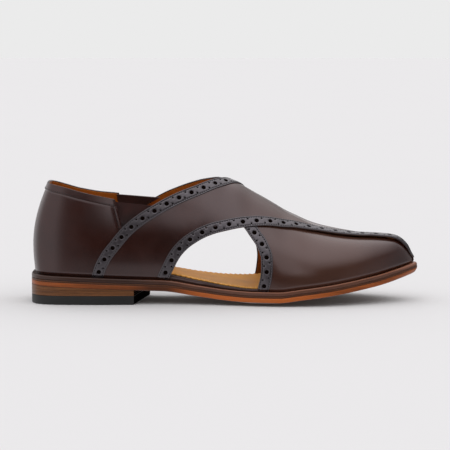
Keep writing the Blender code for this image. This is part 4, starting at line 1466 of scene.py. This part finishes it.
def make_stage(settings):
    """A pale floor, soft studio light from all round and above, and the camera."""
    scene = bpy.context.scene
    scene.view_settings.view_transform = "Standard"
    scene.view_settings.look = "None"
    mesh = bpy.data.meshes.new("studio_floor")
    work = bmesh.new()
    bmesh.ops.create_grid(work, x_segments=8, y_segments=8, size=14.0)
    work.to_mesh(mesh)
    work.free()
    floor = bpy.data.objects.new("studio_floor", mesh)
    scene.collection.objects.link(floor)
    n = Nodes("studio_floor_paint")
    pale = n.blend(n.noise(3.0), (0.680, 0.680, 0.680, 1.0), (0.687, 0.687, 0.687, 1.0))
    mesh.materials.append(n.finish(pale, None, None, Specular_IOR_Level=0.0, Roughness=1.0))
    floor.visible_glossy = False

    world = bpy.data.worlds.new("studio_light")
    scene.world = world
    world.use_nodes = True
    n = NodeTree(world.node_tree)
    n.tree.nodes.clear()

    def fade(value, start, end, strength, least=0.0):
        """The value's smooth rise from start to end: from the least strength to least plus strength."""
        return n.spread(value, start, end, least, least + strength, "SMOOTHSTEP")

    place = n.add("ShaderNodeTexCoord").outputs["Generated"]
    parts = n.add("ShaderNodeSeparateXYZ", Vector=place)
    x, y, z = (parts.outputs[axis] for axis in "XYZ")
    to_heel = n.product(x, -1.0)
    # What the leathers reflect: a window in front, a reflector on the left, a softbox and the table
    across = n.product(fade(x, -0.06, 0.05, 1.0), fade(to_heel, -0.32, -0.12, 1.0))
    window = n.product(across, fade(z, 0.0, 0.30, settings.window))
    reflector = n.larger(fade(to_heel, 0.14, 0.40, settings.reflector), fade(x, 0.45, 0.95, 0.42))
    softbox = n.product(fade(z, 0.30, 0.88, settings.softbox), fade(to_heel, -0.65, -0.2, 0.5, 0.5))
    behind = n.product(fade(y, -0.1, 0.5, settings.backlight), fade(z, 0.15, 0.60, 1.0))
    shine = n.larger(n.larger(window, reflector), n.larger(softbox, behind))
    shine = n.larger(shine, fade(n.product(z, -1.0), 0.14, 0.42, settings.table))
    shine = n.larger(shine, settings.room)
    # What lights the floor and the shoe
    walls = fade(n.larger(x, to_heel), 0.45, 0.95, settings.walls)
    sides = n.larger(walls, fade(y, -0.1, 0.5, settings.sweep))
    ceiling = n.larger(sides, fade(z, 0.10, 0.80, settings.overhead))
    fill = n.larger(ceiling, settings.fill)
    path = n.add("ShaderNodeLightPath")
    level = n.add("ShaderNodeMix")
    for socket, value in ((0, path.outputs["Is Glossy Ray"]), (2, fill), (3, shine)):
        n.plug(level.inputs[socket], value)
    glow = n.add("ShaderNodeBackground", Strength=level.outputs[0], Color=settings.light_colour)
    seen = n.add("ShaderNodeBackground", Strength=settings.backdrop, Color=(1.0, 1.0, 1.0, 1.0))
    mix = n.add("ShaderNodeMixShader")
    for socket, value in enumerate((path.outputs["Is Camera Ray"], glow.outputs[0], seen.outputs[0])):
        n.plug(mix.inputs[socket], value)
    n.add("ShaderNodeOutputWorld", Surface=mix.outputs[0])

    data = bpy.data.cameras.new("studio_camera")
    data.sensor_width = 36.0
    data.lens = settings.camera_lens
    data.clip_start = 0.05
    data.clip_end = 60.0
    camera = bpy.data.objects.new("studio_camera", data)
    scene.collection.objects.link(camera)
    aim = Vector(CAMERA_AIM) + Vector(SHIFT)
    rise_angle = settings.camera_elevation
    back = Vector((0.0, -math.cos(rise_angle), math.sin(rise_angle)))
    camera.location = aim + back * settings.camera_distance
    camera.rotation_euler = (math.pi / 2.0 - rise_angle, 0.0, 0.0)
    scene.camera = camera


def make_finishes(upper, sole):
    """The materials that the pieces share."""
    polished_leather("burnished_calf", upper.leather, 0.21, forepart=upper.burnish)
    polished_leather("band_calf", upper.band_leather, 0.34, 0.25, 0.2, (1.0, 0.92, 1.0, 1.0), 1.0)
    # Near-black hole backing: partly a real backing, partly painted shade
    matt_dye("dark_backing", upper.hole_backing_and_shade)
    # Near-black breast: partly dye, partly painted shade
    matt_dye("breast_dye", shade(sole.rubber, 0.35))
    lining_leather("lining_leather", upper.lining)
    ribbed_elastic("ribbed_elastic", upper.elastic)
    waxed_thread("waxed_thread", upper.thread)
    # The welt's up-facing top gets a painted highlight
    polished_leather("welt_leather", sole.welt, 0.40, 0.3, 0.3, shine=0.35, heel_share=0.35, top_highlight=2.6)
    sole_edge_leather("sole_edge", sole.outsole, shade(sole.outsole, 0.42), waist_gain=1.35)
    sole_edge_leather("middle_ply_edge", sole.middle_ply, shade(sole.middle_ply, 0.5))
    sole_edge_leather("heel_lift_edge", sole.stack, shade(sole.stack, 0.45))
    moulded_rubber("moulded_rubber", sole.rubber)
    polished_leather("insole_cover", sole.board, 0.42, 0.3, 0.3)
    lining_leather("sock_leather", sole.sock, 0.6, 0.15)


# ---------------------------------------------------------------- operators


class Maker:
    """What most operators do: they run their maker with the settings of its part of the shoe."""

    group = "chappal_upper"

    def execute(self, context):
        self.make(getattr(context.scene, self.group))
        return {"FINISHED"}


class CHAPPAL_OT_finishes(bpy.types.Operator):
    """Mix the leathers' and the rubber's finishes"""

    bl_idname = "chappal.finishes"
    bl_label = "Mix finishes"

    def execute(self, context):
        make_finishes(context.scene.chappal_upper, context.scene.chappal_sole)
        return {"FINISHED"}


class CHAPPAL_OT_quarter(Maker, bpy.types.Operator):
    """Make the quarter and its lining"""

    bl_idname = "chappal.quarter"
    bl_label = "Make quarter"
    make = staticmethod(make_quarter)


class CHAPPAL_OT_straps(Maker, bpy.types.Operator):
    """Make the two crossing straps and their linings"""

    bl_idname = "chappal.straps"
    bl_label = "Make straps"
    make = staticmethod(make_straps)


class CHAPPAL_OT_bands(Maker, bpy.types.Operator):
    """Make the brogued bands and their stitches"""

    bl_idname = "chappal.bands"
    bl_label = "Make brogued bands"
    make = staticmethod(make_bands)


class CHAPPAL_OT_gores(Maker, bpy.types.Operator):
    """Make the ribbed elastic gores"""

    bl_idname = "chappal.gores"
    bl_label = "Make gores"
    make = staticmethod(make_gores)


class CHAPPAL_OT_stitching(Maker, bpy.types.Operator):
    """Sew the quarter's stitch rows"""

    bl_idname = "chappal.stitching"
    bl_label = "Sew quarter"
    make = staticmethod(make_stitching)


class CHAPPAL_OT_heel(Maker, bpy.types.Operator):
    """Make the heel tip and the heel's lifts"""

    bl_idname = "chappal.heel"
    bl_label = "Make heel"
    group = "chappal_sole"
    make = staticmethod(make_heel)


class CHAPPAL_OT_bottom(Maker, bpy.types.Operator):
    """Make the outsole and the welt"""

    bl_idname = "chappal.bottom"
    bl_label = "Make outsole and welt"
    group = "chappal_sole"
    make = staticmethod(make_bottom)


class CHAPPAL_OT_footbed(Maker, bpy.types.Operator):
    """Make the insole cover and the pinked sock"""

    bl_idname = "chappal.footbed"
    bl_label = "Make footbed"
    group = "chappal_sole"
    make = staticmethod(make_footbed)


class CHAPPAL_OT_stage(Maker, bpy.types.Operator):
    """Set up the floor, the light and the camera"""

    bl_idname = "chappal.stage"
    bl_label = "Set up studio"
    group = "chappal_stage"
    make = staticmethod(make_stage)


OPERATORS = (
    CHAPPAL_OT_finishes,
    CHAPPAL_OT_quarter,
    CHAPPAL_OT_straps,
    CHAPPAL_OT_bands,
    CHAPPAL_OT_gores,
    CHAPPAL_OT_stitching,
    CHAPPAL_OT_heel,
    CHAPPAL_OT_bottom,
    CHAPPAL_OT_footbed,
    CHAPPAL_OT_stage,
)


class CHAPPAL_PT_panel(bpy.types.Panel):
    """Lists the shoe's makers in the sidebar"""

    bl_idname = "CHAPPAL_PT_panel"
    bl_label = "Crossed-strap chappal"
    bl_space_type = "VIEW_3D"
    bl_region_type = "UI"
    bl_category = "Chappal"

    def draw(self, context):
        for operator in OPERATORS:
            self.layout.operator(operator.bl_idname)


SETTINGS = {
    "chappal_upper": ChappalUpperSettings,
    "chappal_sole": ChappalSoleSettings,
    "chappal_stage": ChappalStageSettings,
}


def register():
    for group in SETTINGS.values():
        bpy.utils.register_class(group)
    for name, group in SETTINGS.items():
        setattr(bpy.types.Scene, name, PointerProperty(type=group))
    for operator in OPERATORS:
        bpy.utils.register_class(operator)
    bpy.utils.register_class(CHAPPAL_PT_panel)


def unregister():
    bpy.utils.unregister_class(CHAPPAL_PT_panel)
    for operator in reversed(OPERATORS):
        bpy.utils.unregister_class(operator)
    for name, group in SETTINGS.items():
        delattr(bpy.types.Scene, name)
        bpy.utils.unregister_class(group)


def main():
    register()
    for operator in OPERATORS:
        family, name = operator.bl_idname.split(".")
        getattr(getattr(bpy.ops, family), name)()


if __name__ == "__main__":
    main()
